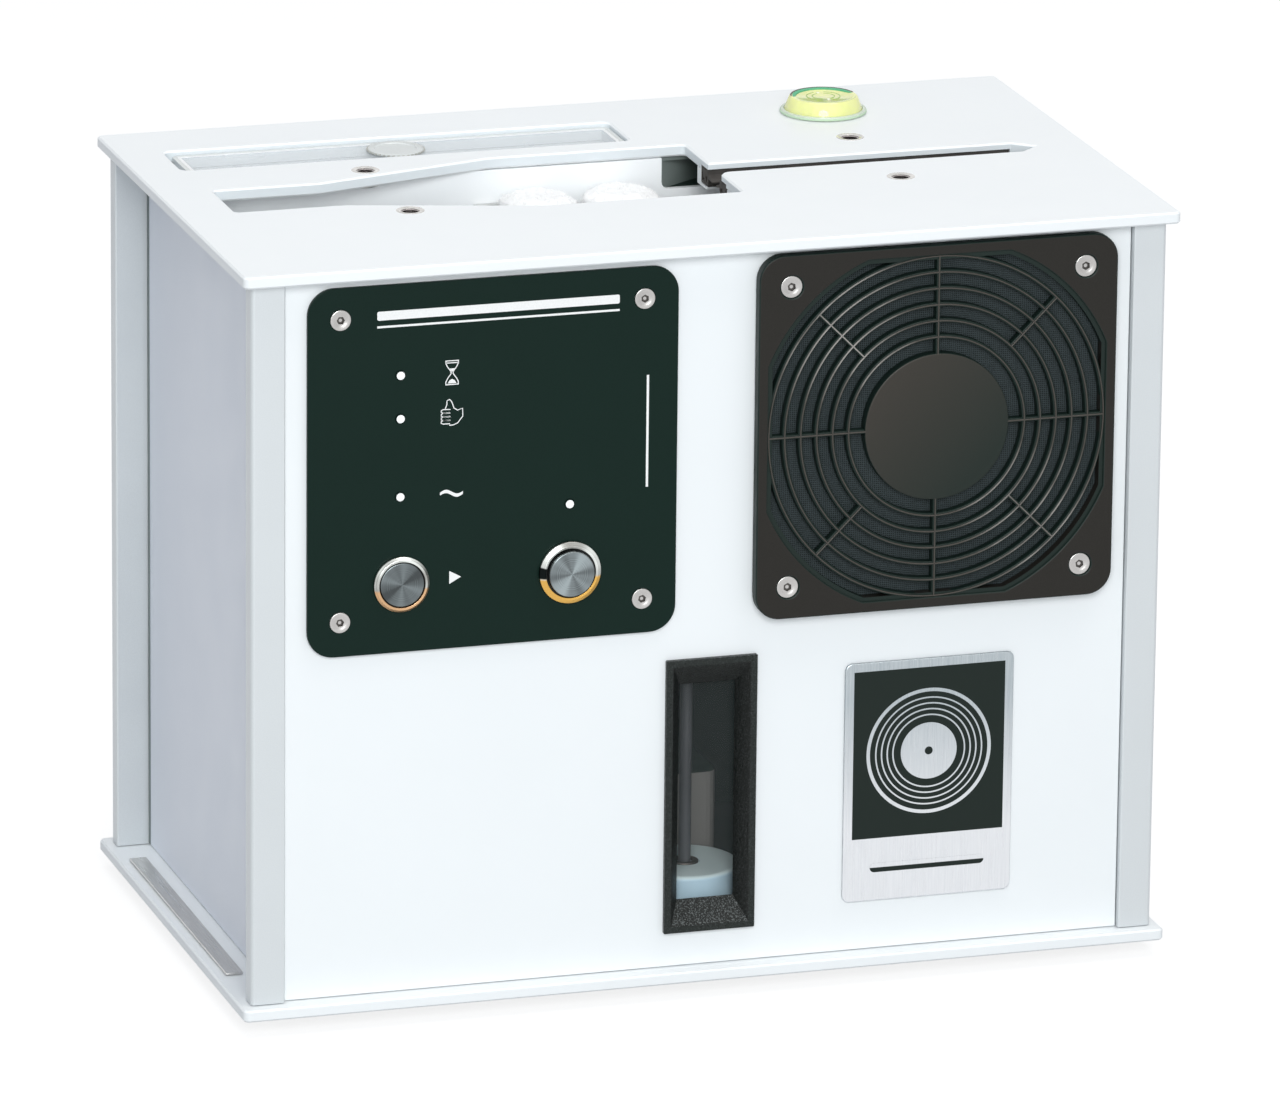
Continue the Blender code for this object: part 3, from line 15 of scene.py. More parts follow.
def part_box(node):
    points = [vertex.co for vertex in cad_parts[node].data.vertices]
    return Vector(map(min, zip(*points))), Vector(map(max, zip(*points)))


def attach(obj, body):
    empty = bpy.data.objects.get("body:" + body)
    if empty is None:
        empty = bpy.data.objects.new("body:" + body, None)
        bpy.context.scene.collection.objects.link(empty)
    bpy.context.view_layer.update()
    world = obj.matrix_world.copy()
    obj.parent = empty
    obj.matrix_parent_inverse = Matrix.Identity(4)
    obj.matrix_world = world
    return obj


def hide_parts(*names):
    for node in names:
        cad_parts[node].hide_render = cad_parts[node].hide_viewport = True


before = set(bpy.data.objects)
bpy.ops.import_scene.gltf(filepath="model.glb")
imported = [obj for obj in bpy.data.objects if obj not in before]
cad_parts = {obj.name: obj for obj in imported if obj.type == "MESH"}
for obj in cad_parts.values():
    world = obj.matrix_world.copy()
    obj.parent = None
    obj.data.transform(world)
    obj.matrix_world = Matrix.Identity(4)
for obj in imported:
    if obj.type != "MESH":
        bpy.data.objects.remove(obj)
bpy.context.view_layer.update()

bl_info = {
    "name": "Record Cleaning Machine",
    "version": (1, 0, 0),
    "blender": (4, 5, 0),
    "location": "View3D > Sidebar > Record Machine",
    "description": "Builds the finished look of a record cleaning machine on its packed frame",
    "category": "Add Mesh",
}

# Heights of the housing's walls, and of the top plate's two faces.
WALL_LOW, WALL_HIGH = 0.0103, 0.2547
TOP_UNDER, TOP_FACE = 0.255, 0.259
# Places (x, z) on the front, and (x, y) on the top.
INDICATORS = [(-0.1063, 0.2214), (-0.1063, 0.2068), (-0.1063, 0.1804), (-0.0487, 0.1736)]
BUTTON_HOLES = [(-0.1059, 0.1509, 0.0089), (-0.0486, 0.1505, 0.0098)]
CONTROL_SCREWS = [(x, z) for x in (-0.1265, -0.0236) for z in (0.1392, 0.2413)]
GUARD_SCREWS = [(x, z) for x in (0.0256, 0.1274) for z in (0.1401, 0.2425)]
FAN_HOLE = (0.0765, 0.1913, 0.0575)
INLET = (-0.100, 0.180)
INSERTS = [(x, y) for x in (-0.085, 0.085) for y in (-0.027, 0.027)]
# Side, end and name of each corner of the housing.
CORNERS = [(side, end, f"{end_name}_{side_name}") for side, side_name in ((-1, "left"), (1, "right"))
           for end, end_name in ((-1, "front"), (1, "rear"))]
# Radius of the screw head that the others are scaled from.
SCREW_RADIUS = 0.0039


# ---------------------------------------------------------------- outlines

def mm(rows):
    """Rows of millimetres as metres."""
    return [tuple(value / 1000 for value in row) for row in rows]


def circle(x, y, radius, steps=64):
    turns = [math.tau * step / steps for step in range(steps)]
    return [(x + radius * math.cos(turn), y + radius * math.sin(turn)) for turn in turns]


def rounded(corners, steps=6, hold=0.0):
    """A flat outline whose corners (x, y, radius) are rounded; hold adds a point past each arc."""
    points = []
    for index, (x, y, radius) in enumerate(corners):
        here = Vector((x, y))
        if not radius:
            points.append((x, y))
            continue
        before = (Vector(corners[index - 1][:2]) - here).normalized()
        after = (Vector(corners[(index + 1) % len(corners)][:2]) - here).normalized()
        half = before.angle(after) / 2
        run = radius / math.tan(half)
        centre = here + (before + after).normalized() * radius / math.sin(half)
        start, end = here + before * run - centre, here + after * run - centre
        sweep = start.angle(end)
        if hold:
            points.append(tuple(here + before * (run + hold)))
        for step in range(steps + 1):
            turn = sweep * step / steps
            point = centre + (start * math.sin(sweep - turn) + end * math.sin(turn)) / math.sin(sweep)
            points.append((point.x, point.y))
        if hold:
            points.append(tuple(here + after * (run + hold)))
    return points


def rectangle(left, right, low, high, radius=0.0, steps=6):
    return rounded([(left, low, radius), (right, low, radius), (right, high, radius), (left, high, radius)], steps)


def centred(x, y, width, tall, radius=0.0, steps=6):
    return rectangle(x - width / 2, x + width / 2, y - tall / 2, y + tall / 2, radius, steps)


def signed_area(points):
    return sum(a[0] * b[1] - b[0] * a[1] for a, b in zip(points, points[1:] + points[:1])) / 2


def shifted(points, distance):
    """A closed outline moved sideways, to the left of its own direction."""
    moved = []
    for index, here in enumerate(points):
        here = Vector(here)
        back = (here - Vector(points[index - 1])).normalized()
        on = (Vector(points[(index + 1) % len(points)]) - here).normalized()
        side_a, side_b = Vector((-back.y, back.x)), Vector((-on.y, on.x))
        mitre = (side_a + side_b) / max(0.3, 1 + side_a.dot(side_b))
        moved.append(tuple(here + mitre * distance))
    return moved


def ribbon(points, width):
    """The outline of an open line of even width."""
    left, right = [], []
    for index, here in enumerate(points):
        run = (Vector(points[min(index + 1, len(points) - 1)]) - Vector(points[max(index - 1, 0)])).normalized()
        side = Vector((-run.y, run.x)) * width / 2
        left.append(tuple(Vector(here) + side))
        right.append(tuple(Vector(here) - side))
    return left + right[::-1]


# ---------------------------------------------------------------- solids

def laid(u, v, w, axis):
    """A point of an outline, standing up along one axis."""
    return {"X": (w, u, v), "Y": (u, w, v), "Z": (u, v, w)}[axis]


def bridge(mesh, rows, closed=False):
    """Faces between rows of vertices that run round in rings; closed joins the last row to the first."""
    faces = []
    for row, after in zip(rows, rows[1:] + rows[:closed]):
        for step in range(len(row)):
            follow = (step + 1) % len(row)
            corners = dict.fromkeys((row[step], row[follow], after[follow], after[step]))
            if len(corners) > 2:
                faces.append(mesh.faces.new(corners))
    return faces


def outward(mesh):
    bmesh.ops.recalc_face_normals(mesh, faces=mesh.faces)
    return mesh


def slab(outer, holes, low, high, axis="Z", edge=0.0, steps=3):
    """A plate cut to an outline with holes, its edges rounded over."""
    mesh = bmesh.new()
    levels = [(0.0, low), (0.0, high)]
    if edge:
        hold = edge * 0.12
        quarter = [math.pi / 2 * step / steps for step in range(steps + 1)]
        lower = [(edge * (1 - math.sin(a)), low + edge * (1 - math.cos(a))) for a in quarter]
        upper = [(inset, low + high - level) for inset, level in reversed(lower)]
        levels = [(edge + hold, low), *lower, (0.0, low + edge + hold)]
        levels += [(0.0, high - edge - hold), *upper, (edge + hold, high)]
    caps = ([], [])
    for index, loop in enumerate((outer, *holes)):
        if (signed_area(loop) > 0) != (index == 0):
            loop = loop[::-1]
        rings = [[mesh.verts.new(laid(*point, level, axis)) for point in shifted(loop, inset)]
                 for inset, level in levels]
        bridge(mesh, rings)
        for cap, ring in zip(caps, (rings[0], rings[-1])):
            cap += [mesh.edges.get((a, b)) for a, b in zip(ring, ring[1:] + ring[:1])]
    for cap in caps:
        bmesh.ops.triangle_fill(mesh, edges=cap, use_beauty=True)
    return outward(mesh)


def lathe(profile, centre, axis="Z", steps=64, ring=False):
    """A (radius, level) profile turned round an axis; ring closes the profile on itself."""
    mesh = bmesh.new()
    rows = []
    for radius, level in profile:
        if radius:
            rows.append([mesh.verts.new(laid(x, y, level, axis)) for x, y in circle(*centre, radius, steps)])
        else:
            rows.append([mesh.verts.new(laid(*centre, level, axis))] * steps)
    bridge(mesh, rows, ring)
    return outward(mesh)


def block(low, high, edge=0.0003):
    return slab(rectangle(low[0], high[0], low[1], high[1]), [], low[2], high[2], "Z", edge, 2)


def plain_mesh(name, mesh):
    """The finished mesh of a bmesh, which is freed."""
    data = bpy.data.meshes.new(name)
    mesh.to_mesh(data)
    mesh.free()
    return data


def joined(parts):
    """Several solids in one mesh, each with the number of its finish, or None to keep what its faces say."""
    whole = bmesh.new()
    for part, number in parts:
        data = part if isinstance(part, bpy.types.Mesh) else plain_mesh("joined", part)
        if number is not None:
            for polygon in data.polygons:
                polygon.material_index = number
        whole.from_mesh(data)
        bpy.data.meshes.remove(data)
    return whole


def shade_faces(mesh, choose):
    """Gives each face the number of the finish that a function of the face chooses."""
    for face in mesh.faces:
        face.material_index = choose(face)
    return mesh


def new_object(name, data):
    item = bpy.data.objects.new(name, data)
    bpy.context.scene.collection.objects.link(item)
    return item


def evaluated(carrier):
    """The plain mesh that an object's modifiers make of it."""
    bpy.context.view_layer.update()
    ready = carrier.evaluated_get(bpy.context.evaluated_depsgraph_get())
    return bpy.data.meshes.new_from_object(ready)


def carved(mesh, low, high):
    """A solid with a square-cornered recess cut out of it."""
    pair = [new_object("cut", plain_mesh("cut", solid)) for solid in (mesh, block(low, high, 0.0))]
    cut = pair[0].modifiers.new("cut", "BOOLEAN")
    cut.operation, cut.solver, cut.object = "DIFFERENCE", "EXACT", pair[1]
    data = evaluated(pair[0])
    for item in pair:
        bpy.data.objects.remove(item)
    return data


def make_piece(name, mesh, finishes=(), stands_for=(), body="housing", crease=40):
    data = mesh if isinstance(mesh, bpy.types.Mesh) else plain_mesh(name, mesh)
    for item in finishes:
        data.materials.append(finish(item) if isinstance(item, str) else item)
    if crease:
        data.shade_smooth()
        data.set_sharp_from_angle(angle=math.radians(crease))
    piece = new_object(name, data)
    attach(piece, body)
    if stands_for:
        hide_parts(*stands_for)
    return piece


def dress(name, *nodes):
    """Gives CAD nodes that stay in view their finish."""
    for node in nodes:
        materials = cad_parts[node].data.materials
        materials.clear()
        materials.append(finish(name))


def extent(node):
    """A node's lowest and highest corner, and its middle."""
    low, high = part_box(node)
    return low, high, [(a + b) / 2 for a, b in zip(low, high)]


# ---------------------------------------------------------------- node trees

class Tree:
    """Adds nodes to a node tree; an input is a value or another node's output."""

    def node(self, kind, inputs=(), **settings):
        made = self.tree.nodes.new(kind)
        for name, value in settings.items():
            setattr(made, name, value)
        for name, value in dict(inputs).items():
            if isinstance(value, bpy.types.NodeSocket):
                self.tree.links.new(value, made.inputs[name])
            else:
                made.inputs[name].default_value = value
        return made

    def first(self, kind, inputs=(), **settings):
        return self.node(kind, inputs, **settings).outputs[0]

    def math(self, operation, first, second=0.0):
        return self.first("ShaderNodeMath", {0: first, 1: second}, operation=operation)

    def add(self, first, second):
        return self.math("ADD", first, second)

    def times(self, first, second):
        return self.math("MULTIPLY", first, second)


# Kinds of surface: roughness, metallic and specular level; tone (noise scale, detail, share of change); wear
# (noise scale, detail, how far the roughness falls and rises); layers of relief (noise scale, detail, depth in
# millimetres, strength, and the stretch of a drawn grain).
KINDS = {
    "sheet": (0.42, 0, 0.35, (14, 3, 0.008), (60, 4, 0.06, 0.06), [(900, 3, 0.04, 0.12)]),
    "anodised": (0.46, 0.35, 0.4, (4200, 2, 0.035), (40, 3, 0.06, 0.06), [(3800, 2, 0.03, 0.25)]),
    "moulded": (0.45, 0, 0.4, (22, 3, 0.02), (90, 3, 0.05, 0.10), [(1400, 2, 0.04, 0.15)]),
    "grey": (0.5, 0, 0.25, (35, 4, 0.12), (70, 3, 0.08, 0.10), [(1800, 2, 0.05, 0.2)]),
    "duct": (0.4, 0, 0.25, None, (70, 3, 0.06, 0.10), [(1800, 2, 0.05, 0.2)]),
    "plate": (0.38, 0, 0.10, (2600, 2, 0.06), (55, 4, 0.05, 0.06), [(2400, 2, 0.02, 0.12)]),
    "grained": (0.42, 0, 0.20, (2300, 3, 0.10), (48, 4, 0.08, 0.06), [(2300, 3, 0.05, 0.35), (160, 2, 0.1, 0.05)]),
    "hub": (0.42, 0, 0.20, None, (48, 4, 0.08, 0.06), [(2300, 3, 0.05, 0.35)]),
    "crest": (0.35, 0, 0.4, None, (400, 2, 0.05, 0.10), [(2300, 2, 0.02, 0.2)]),
    "coarse": (0.42, 0, 0.25, None, (1500, 2, 0.18, 0.08), []),
    "black": (0.45, 0, 0.2, (30, 3, 0.15), (120, 3, 0.07, 0.10), [(1600, 2, 0.04, 0.2)]),
    "rubber": (0.62, 0, 0.3, (260, 4, 0.25), (300, 3, 0.10, 0.12), [(2100, 3, 0.05, 0.4)]),
    "screen": (0.6, 0, 0.25, None, None, []),
    "steel": (0.28, 1, 0.5, (80, 3, 0.08), (200, 3, 0.06, 0.08), [(1500, 2, 0.02, 0.15)]),
    "insert": (0.22, 1, 0.5, (300, 3, 0.15), None, [(1, 2, 0.03, 0.4, (200, 200, 3000))]),
    "brushed": (0.32, 1, 0.5, None, None, []),
    "turned": (0.3, 1, 0.5, None, None, []),
    "clear": (0.06, 0, 0.5, (60, 2, 0.012), (45, 4, 0, 0.06), [(240, 2, 0.01, 0.05)]),
    "fluid": (0.12, 0, 0.4, (120, 2, 0.06), (300, 2, 0.04, 0.06), [(500, 2, 0.03, 0.1)]),
    "float": (0.4, 0, 0.35, None, None, [(1, 2, 0.06, 0.3, (60, 60, 1500))]),
    "lens": (0.25, 0, 0.5, (900, 2, 0.03), None, [(1200, 2, 0.03, 0.15)]),
    "fleece": (0.95, 0, 0.1, (420, 4, 0.06), None, [(1700, 3, 0.3, 0.6)]),
    "foam": (0.95, 0, 0.1, None, None, []),
    "board": (0.4, 0, 0.4, None, None, []),
    "nylon": (0.5, 0, 0.4, (60, 3, 0.05), None, [(900, 2, 0.04, 0.2)]),
    "ink": (0.5, 0, 0.2, (3000, 2, 0.04), None, [(2600, 2, 0.02, 0.2)]),
}
# Sockets that only some kinds set.
DEPTH = {
    "fluid": {"Subsurface Weight": 0.35, "Subsurface Radius": (0.004, 0.004, 0.0015), "Subsurface Scale": 0.6},
    "float": {"Subsurface Weight": 0.2, "Subsurface Radius": (0.003, 0.003, 0.003), "Subsurface Scale": 0.5},
    "fleece": {"Sheen Weight": 0.25, "Sheen Roughness": 0.5},
}


class Finish(Tree):
    """A Principled material on Object coordinates, with the wear and relief of its kind."""

    def __init__(self, kind, name, colour, roughness=None, alpha=1.0):
        usual, metallic, specular, _, wear, layers = KINDS[kind]
        self.roughness = usual if roughness is None else roughness
        self.material = bpy.data.materials.new(name)
        self.material.use_nodes = True
        self.tree = self.material.node_tree
        self.shader = self.tree.nodes["Principled BSDF"]
        self.colour = tuple(colour)
        for socket, value in {"Base Color": (*colour, 1.0), "Roughness": self.roughness, "Metallic": metallic,
                              "Specular IOR Level": specular, "Alpha": alpha, **DEPTH.get(kind, {})}.items():
            self.shader.inputs[socket].default_value = value
        self.coordinates = self.node("ShaderNodeTexCoord").outputs
        if wear:
            self.wear(self.noise(*wear[:2]), *wear[2:])
        if layers:
            self.relief(*((self.noise(scale, detail, *stretch), depth, strength)
                          for scale, detail, depth, strength, *stretch in layers))

    def feed(self, socket, output):
        self.tree.links.new(output, self.shader.inputs[socket])

    def mapped(self, scale=(1, 1, 1), shift=(0, 0, 0), turn=(0, 0, 0)):
        return self.first("ShaderNodeMapping", {
            "Location": shift, "Rotation": turn, "Scale": tuple(1 / s for s in scale),
            "Vector": self.coordinates["Object"]}, vector_type="TEXTURE")

    def axes(self, output="Object", centre=None):
        """X, Y and Z of the object's coordinates, of its normal, or about a centre (x, z)."""
        vector = self.mapped(shift=(centre[0], 0.0, centre[1])) if centre else self.coordinates[output]
        return self.node("ShaderNodeSeparateXYZ", {0: vector}).outputs

    def noise(self, scale, detail, stretch=(1, 1, 1)):
        return self.node("ShaderNodeTexNoise", {
            "Scale": scale, "Detail": detail, "Vector": self.mapped(stretch)}).outputs["Fac"]

    def cells(self, scale):
        return self.node("ShaderNodeTexVoronoi", {"Scale": scale, "Vector": self.mapped()}).outputs["Distance"]

    def ranged(self, value, low, high, from_low=0.3, from_high=0.7):
        return self.node("ShaderNodeMapRange", {
            "Value": value, "From Min": from_low, "From Max": from_high, "To Min": low,
            "To Max": high}).outputs["Result"]

    def blend(self, share, first, second):
        first, second = (value if isinstance(value, bpy.types.NodeSocket) else (*value, 1.0)
                         for value in (first, second))
        return self.node("ShaderNodeMix", {"Factor": share, 6: first, 7: second}, data_type="RGBA").outputs[2]

    def coloured(self, output):
        self.feed("Base Color", output)
        return self.material

    def toned(self, value, change):
        """Colour that wanders round its base by a share."""
        dark = tuple(c * (1 - change) for c in self.colour)
        light = tuple(min(1.0, c * (1 + change)) for c in self.colour)
        return self.coloured(self.blend(self.ranged(value, 0, 1), dark, light))

    def wear(self, value, fall, rise):
        self.feed("Roughness", self.ranged(value, self.roughness - fall, self.roughness + rise))

    def relief(self, *layers):
        """Bump layers of (height, depth in millimetres, strength)."""
        normal = {}
        for height, depth, strength in layers:
            normal = {"Normal": self.first("ShaderNodeBump", {
                "Distance": depth / 1000, "Strength": strength, "Height": height, **normal})}
        self.feed("Normal", normal["Normal"])


def plain_finish(kind, name, *values):
    """A finish whose colour only wanders as its kind says."""
    made = Finish(kind, name, *values)
    scale, detail, change = KINDS[kind][3]
    return made.toned(made.noise(scale, detail), change)


def duct_finish():
    """Grey duct wall, painted darker away from its mouth as shade."""
    made = Finish("duct", "duct_plastic", (0.3, 0.33, 0.33))
    # The painted shade deepens from the mouth's end into the duct.
    share = made.ranged(made.axes()["X"], 0, 1, 0.021, 0.042)
    return made.coloured(made.blend(share, (0.19, 0.22, 0.21), (0.014, 0.026, 0.021)))


def pump_finish(colour, top_shade):
    """Grey moulding whose upward faces are painted dark as shade."""
    made = Finish("grey", "pump_housing", colour)
    return made.coloured(made.blend(made.ranged(made.axes("Normal")["Z"], 0, 1, 0.4, 0.8), colour, top_shade))


def float_finish(colour):
    """Moulded float, its upward face painted paler as painted light."""
    made = Finish("float", "float_plastic", colour)
    lit_top_colour = tuple(min(1.0, c * 1.35) for c in colour)
    top = made.blend(made.ranged(made.axes("Normal")["Z"], 0, 1, 0.2, 0.8), colour, lit_top_colour)
    return made.coloured(made.blend(made.ranged(made.noise(90, 3), 0, 0.08), top, (0.2, 0.3, 0.35)))


def hub_finish(centre, light, dark):
    """Grained plastic of the guard's dished hub, falling into shade at the lower right."""
    made = Finish("hub", "guard_hub", light)
    axes = made.axes(centre=centre)
    share = made.ranged(made.math("SUBTRACT", axes["Z"], axes["X"]), 0, 1, -0.030, 0.032)
    return made.coloured(made.blend(share, dark, light))


def crest_highlight_finish(centre, colour):
    """Painted highlights on the crests of the guard's bars, brightest at the upper left and lower right."""
    made = Finish("crest", "guard_crest_highlight", colour)
    x, _, z = made.axes(centre=centre)
    slant = made.math("DIVIDE", made.times(x, z), made.add(made.times(x, x), made.times(z, z)))
    share = made.times(made.ranged(slant, 1, 0, -0.5, -0.22), made.ranged(made.noise(70, 2), 0.25, 1, 0.4, 0.6))
    return made.coloured(made.blend(share, (0.050, 0.044, 0.037), colour))


def coarse_plastic_finish(colour):
    """Coarse leather-like grain of the window surround, with light flecks; the flecks are painted strongest on
    upward faces as light from above.
    """
    made = Finish("coarse", "coarse_black_plastic", colour)
    _, y, z = made.axes("Normal")
    flecks_and_top_light = made.times(made.ranged(made.noise(2300, 1), 0, 1, 0.52, 0.66), made.ranged(z, 0.18, 1, 0.1, 0.6))
    # Faces turned away from the front are painted darker as shade.
    base = made.blend(made.ranged(y, 1, 0, -0.97, -0.8), tuple(c * 0.4 for c in colour), colour)
    made.relief((made.cells(1300), 0.16, 0.7), (made.noise(1500, 2), 0.12, 0.6))
    return made.coloured(made.blend(flecks_and_top_light, base, (0.115, 0.128, 0.128)))


def woven_screen_finish(thread, gap, pitch):
    """Plain weave: threads run both ways and pass over each other in turn."""
    made = Finish("screen", "woven_screen", thread)
    axes = made.axes()
    threads = made.math("MAXIMUM", *(made.math("SINE", made.times(axes[way], math.tau / pitch)) for way in "XZ"))
    lit = made.times(made.ranged(threads, 0, 1, -0.1, 0.75), made.ranged(made.noise(700, 2), 0.75, 1.25))
    lit.node.use_clamp = True
    made.relief((threads, 0.12, 0.6))
    return made.coloured(made.blend(lit, gap, thread))


def brushed_steel_finish(name, colour, stretch, shade=None):
    """Brush lines run along the axis with the lowest stretch; shade darkens it over (low, high) to a colour."""
    made = Finish("brushed", name, colour)
    lines = made.noise(1, 3, stretch)
    made.wear(made.noise(1, 2, tuple(s * 0.7 for s in stretch)), 0.07, 0.1)
    made.relief((lines, 0.03, 0.3))
    if not shade:
        return made.toned(lines, 0.10)
    low, high, deep = shade
    base = made.blend(made.ranged(made.axes()["Z"], 0, 1, low, high), colour, deep)
    return made.coloured(made.blend(made.ranged(lines, 0, 0.16), base, (1, 1, 1)))


def turned_steel_finish(name, centre, light, dark, phase, warm_reflection=None, dark_reflection_patch=False):
    """Steel turned on a lathe: fine circles, and light and dark wedges from the centre out, painted as
    reflections.
    """
    made = Finish("turned", name, light)
    x, _, z = made.axes(centre=centre)
    angle = made.math("ARCTAN2", z, x)
    wide, middling, narrow = (made.math("COSINE", made.add(made.times(angle, turns), phase * shift))
                              for turns, shift in ((2, 1.7), (4, 1), (10, 3.1)))
    pattern = made.add(made.add(middling, made.times(narrow, 0.35)), wide)
    radius = made.math("SQRT", made.add(made.times(x, x), made.times(z, z)))
    rings = made.node("ShaderNodeTexNoise", {"Scale": 3000, "W": radius}, noise_dimensions="1D").outputs["Fac"]
    fine = made.times(made.math("SUBTRACT", rings, 0.5), 2.6)
    colour = made.blend(made.ranged(made.add(pattern, fine), 0, 1, -1.7, 1.9), dark, light)
    # A warm reflection painted low on the ring.
    if warm_reflection:
        colour = made.blend(made.ranged(z, 0, 1, -0.0012, -0.0020), colour, warm_reflection)
    # A dark reflection painted as a narrow patch at the left.
    if dark_reflection_patch:
        left = made.ranged(made.math("COSINE", angle), 1, 0, -0.975, -0.965)
        share = made.times(left, made.ranged(z, 0, 1, -0.0016, -0.0012))
        colour = made.blend(share, colour, (0.008, 0.010, 0.010))
    made.relief((rings, 0.02, 0.25))
    return made.coloured(colour)


def foam_finish(colour):
    """Open-cell foam: dark pores between soft struts."""
    made = Finish("foam", "filter_foam", colour)
    pores = made.cells(900)
    made.relief((pores, 0.4, 0.8))
    return made.toned(made.ranged(pores, 0, 1, 0.1, 0.7), 0.25)


def board_finish():
    """Solder mask over faint copper tracks."""
    made = Finish("board", "circuit_board", (0.02, 0.16, 0.07))
    bricks = made.node("ShaderNodeTexBrick", {
        "Scale": 120, "Mortar Size": 0.06, "Color1": (0.015, 0.13, 0.055, 1), "Color2": (0.03, 0.19, 0.08, 1),
        "Mortar": (0.05, 0.30, 0.13, 1), "Vector": made.mapped(turn=(math.pi / 2, 0, 0))}).outputs
    made.relief((bricks["Fac"], 0.03, 0.4))
    return made.coloured(bricks["Color"])


shared = {}


def finish(name):
    """A finish by name, made once: its kind, colour, and where they are its own its roughness and opacity."""
    if name not in shared:
        look = bpy.context.scene.record_machine
        special = {
            "duct_plastic": duct_finish, "circuit_board": board_finish,
            "pump_housing": lambda: pump_finish(look.window.pump_colour, look.window.tank_colour),
        }
        rows = {
            "white_sheet": ("sheet", look.housing.sheet_colour),
            # Walls inside the top sheet's holes: the sheet's white painted darker as shade.
            "painted_shade_hole_wall": ("sheet", (0.76, 0.81, 0.835)),
            # Side panels: the white sheet painted darker and bluer as the shade on the sides.
            "shaded_side_sheet": ("sheet", look.housing.side_colour),
            "seal_grey": ("grey", (0.17, 0.20, 0.20)),
            "dull_washer": ("steel", (0.20, 0.18, 0.165), 0.5),
            "satin_anodised": ("anodised", look.housing.post_colour),
            "moulded_white": ("moulded", look.slot.bath_colour),
            "grey_moulding": ("grey", look.window.tank_colour),
            "stem_plastic": ("grey", look.window.stem_colour, 0.35),
            "dark_front_plate": ("plate", look.control.plate_colour),
            "indicator_lens": ("lens", look.control.lens_colour),
            "white_ink": ("ink", look.control.ink_colour),
            "smooth_black_plastic": ("black", (0.02, 0.021, 0.02)),
            "grained_black_plastic": ("grained", look.guard.colour),
            # The guard plastic painted dark as the shade of its sides, bars and lip.
            "painted_shade_black": ("grey", (0.0042, 0.0125, 0.0098)),
            "black_rubber": ("rubber", (0.052, 0.047, 0.043)),
            "plain_steel": ("steel", (0.62, 0.62, 0.61)),
            "bright_screw_steel": ("steel", (0.47, 0.46, 0.45), 0.34),
            "socket_shade": ("steel", (0.085, 0.08, 0.075), 0.4),
            "insert_steel": ("insert", look.slot.insert_colour),
            "insert_bore": ("steel", (0.42, 0.39, 0.385), 0.22),
            "window_pane": ("clear", (0.10, 0.12, 0.12), 0.06, 0.10),
            # The floor inside the duct: a dark sheet painted as its shade.
            "painted_shade_ledge": ("grey", (0.012, 0.028, 0.022)),
            "natural_nylon": ("nylon", (0.78, 0.76, 0.68)),
            "microfibre_fleece": ("fleece", look.sleeve.colour),
            "clear_cover": ("clear", (0.90, 0.955, 0.985), 0.06, look.filter.clear_alpha),
            "clear_cover_edge": ("clear", (0.80, 0.83, 0.82), 0.2, 0.85),
            # A white band inside the cover's rim, painted as its edge highlight.
            "clear_cover_highlight_band": ("clear", (0.96, 0.97, 0.97), 0.2, 0.9),
            "frosted_knob": ("clear", (0.80, 0.83, 0.82), 0.3, 0.72),
            "knob_grip": ("clear", (0.50, 0.50, 0.46), 0.3, 0.8),
            "level_fluid": ("fluid", look.level.body_colour),
            "level_marks": ("ink", look.level.mark_colour),
            "level_rim": ("ink", (0.13, 0.11, 0.105)),
            "level_rim_shade": ("ink", (0.10, 0.45, 0.24)),
            "level_glint": ("ink", (0.93, 0.95, 0.86)),
            "level_sheen": ("ink", (0.74, 0.80, 0.42)),
            "level_flange": ("clear", (0.80, 0.90, 0.78), 0.1, 0.62),
            "level_flange_edge": ("ink", (0.50, 0.66, 0.47)),
            "dark_field": ("ink", look.trim.field_colour),
        }
        if name in special:
            shared[name] = special[name]()
        else:
            kind, *values = rows[name]
            shared[name] = plain_finish(kind, name, *values)
    return shared[name]


# ---------------------------------------------------------------- geometry nodes

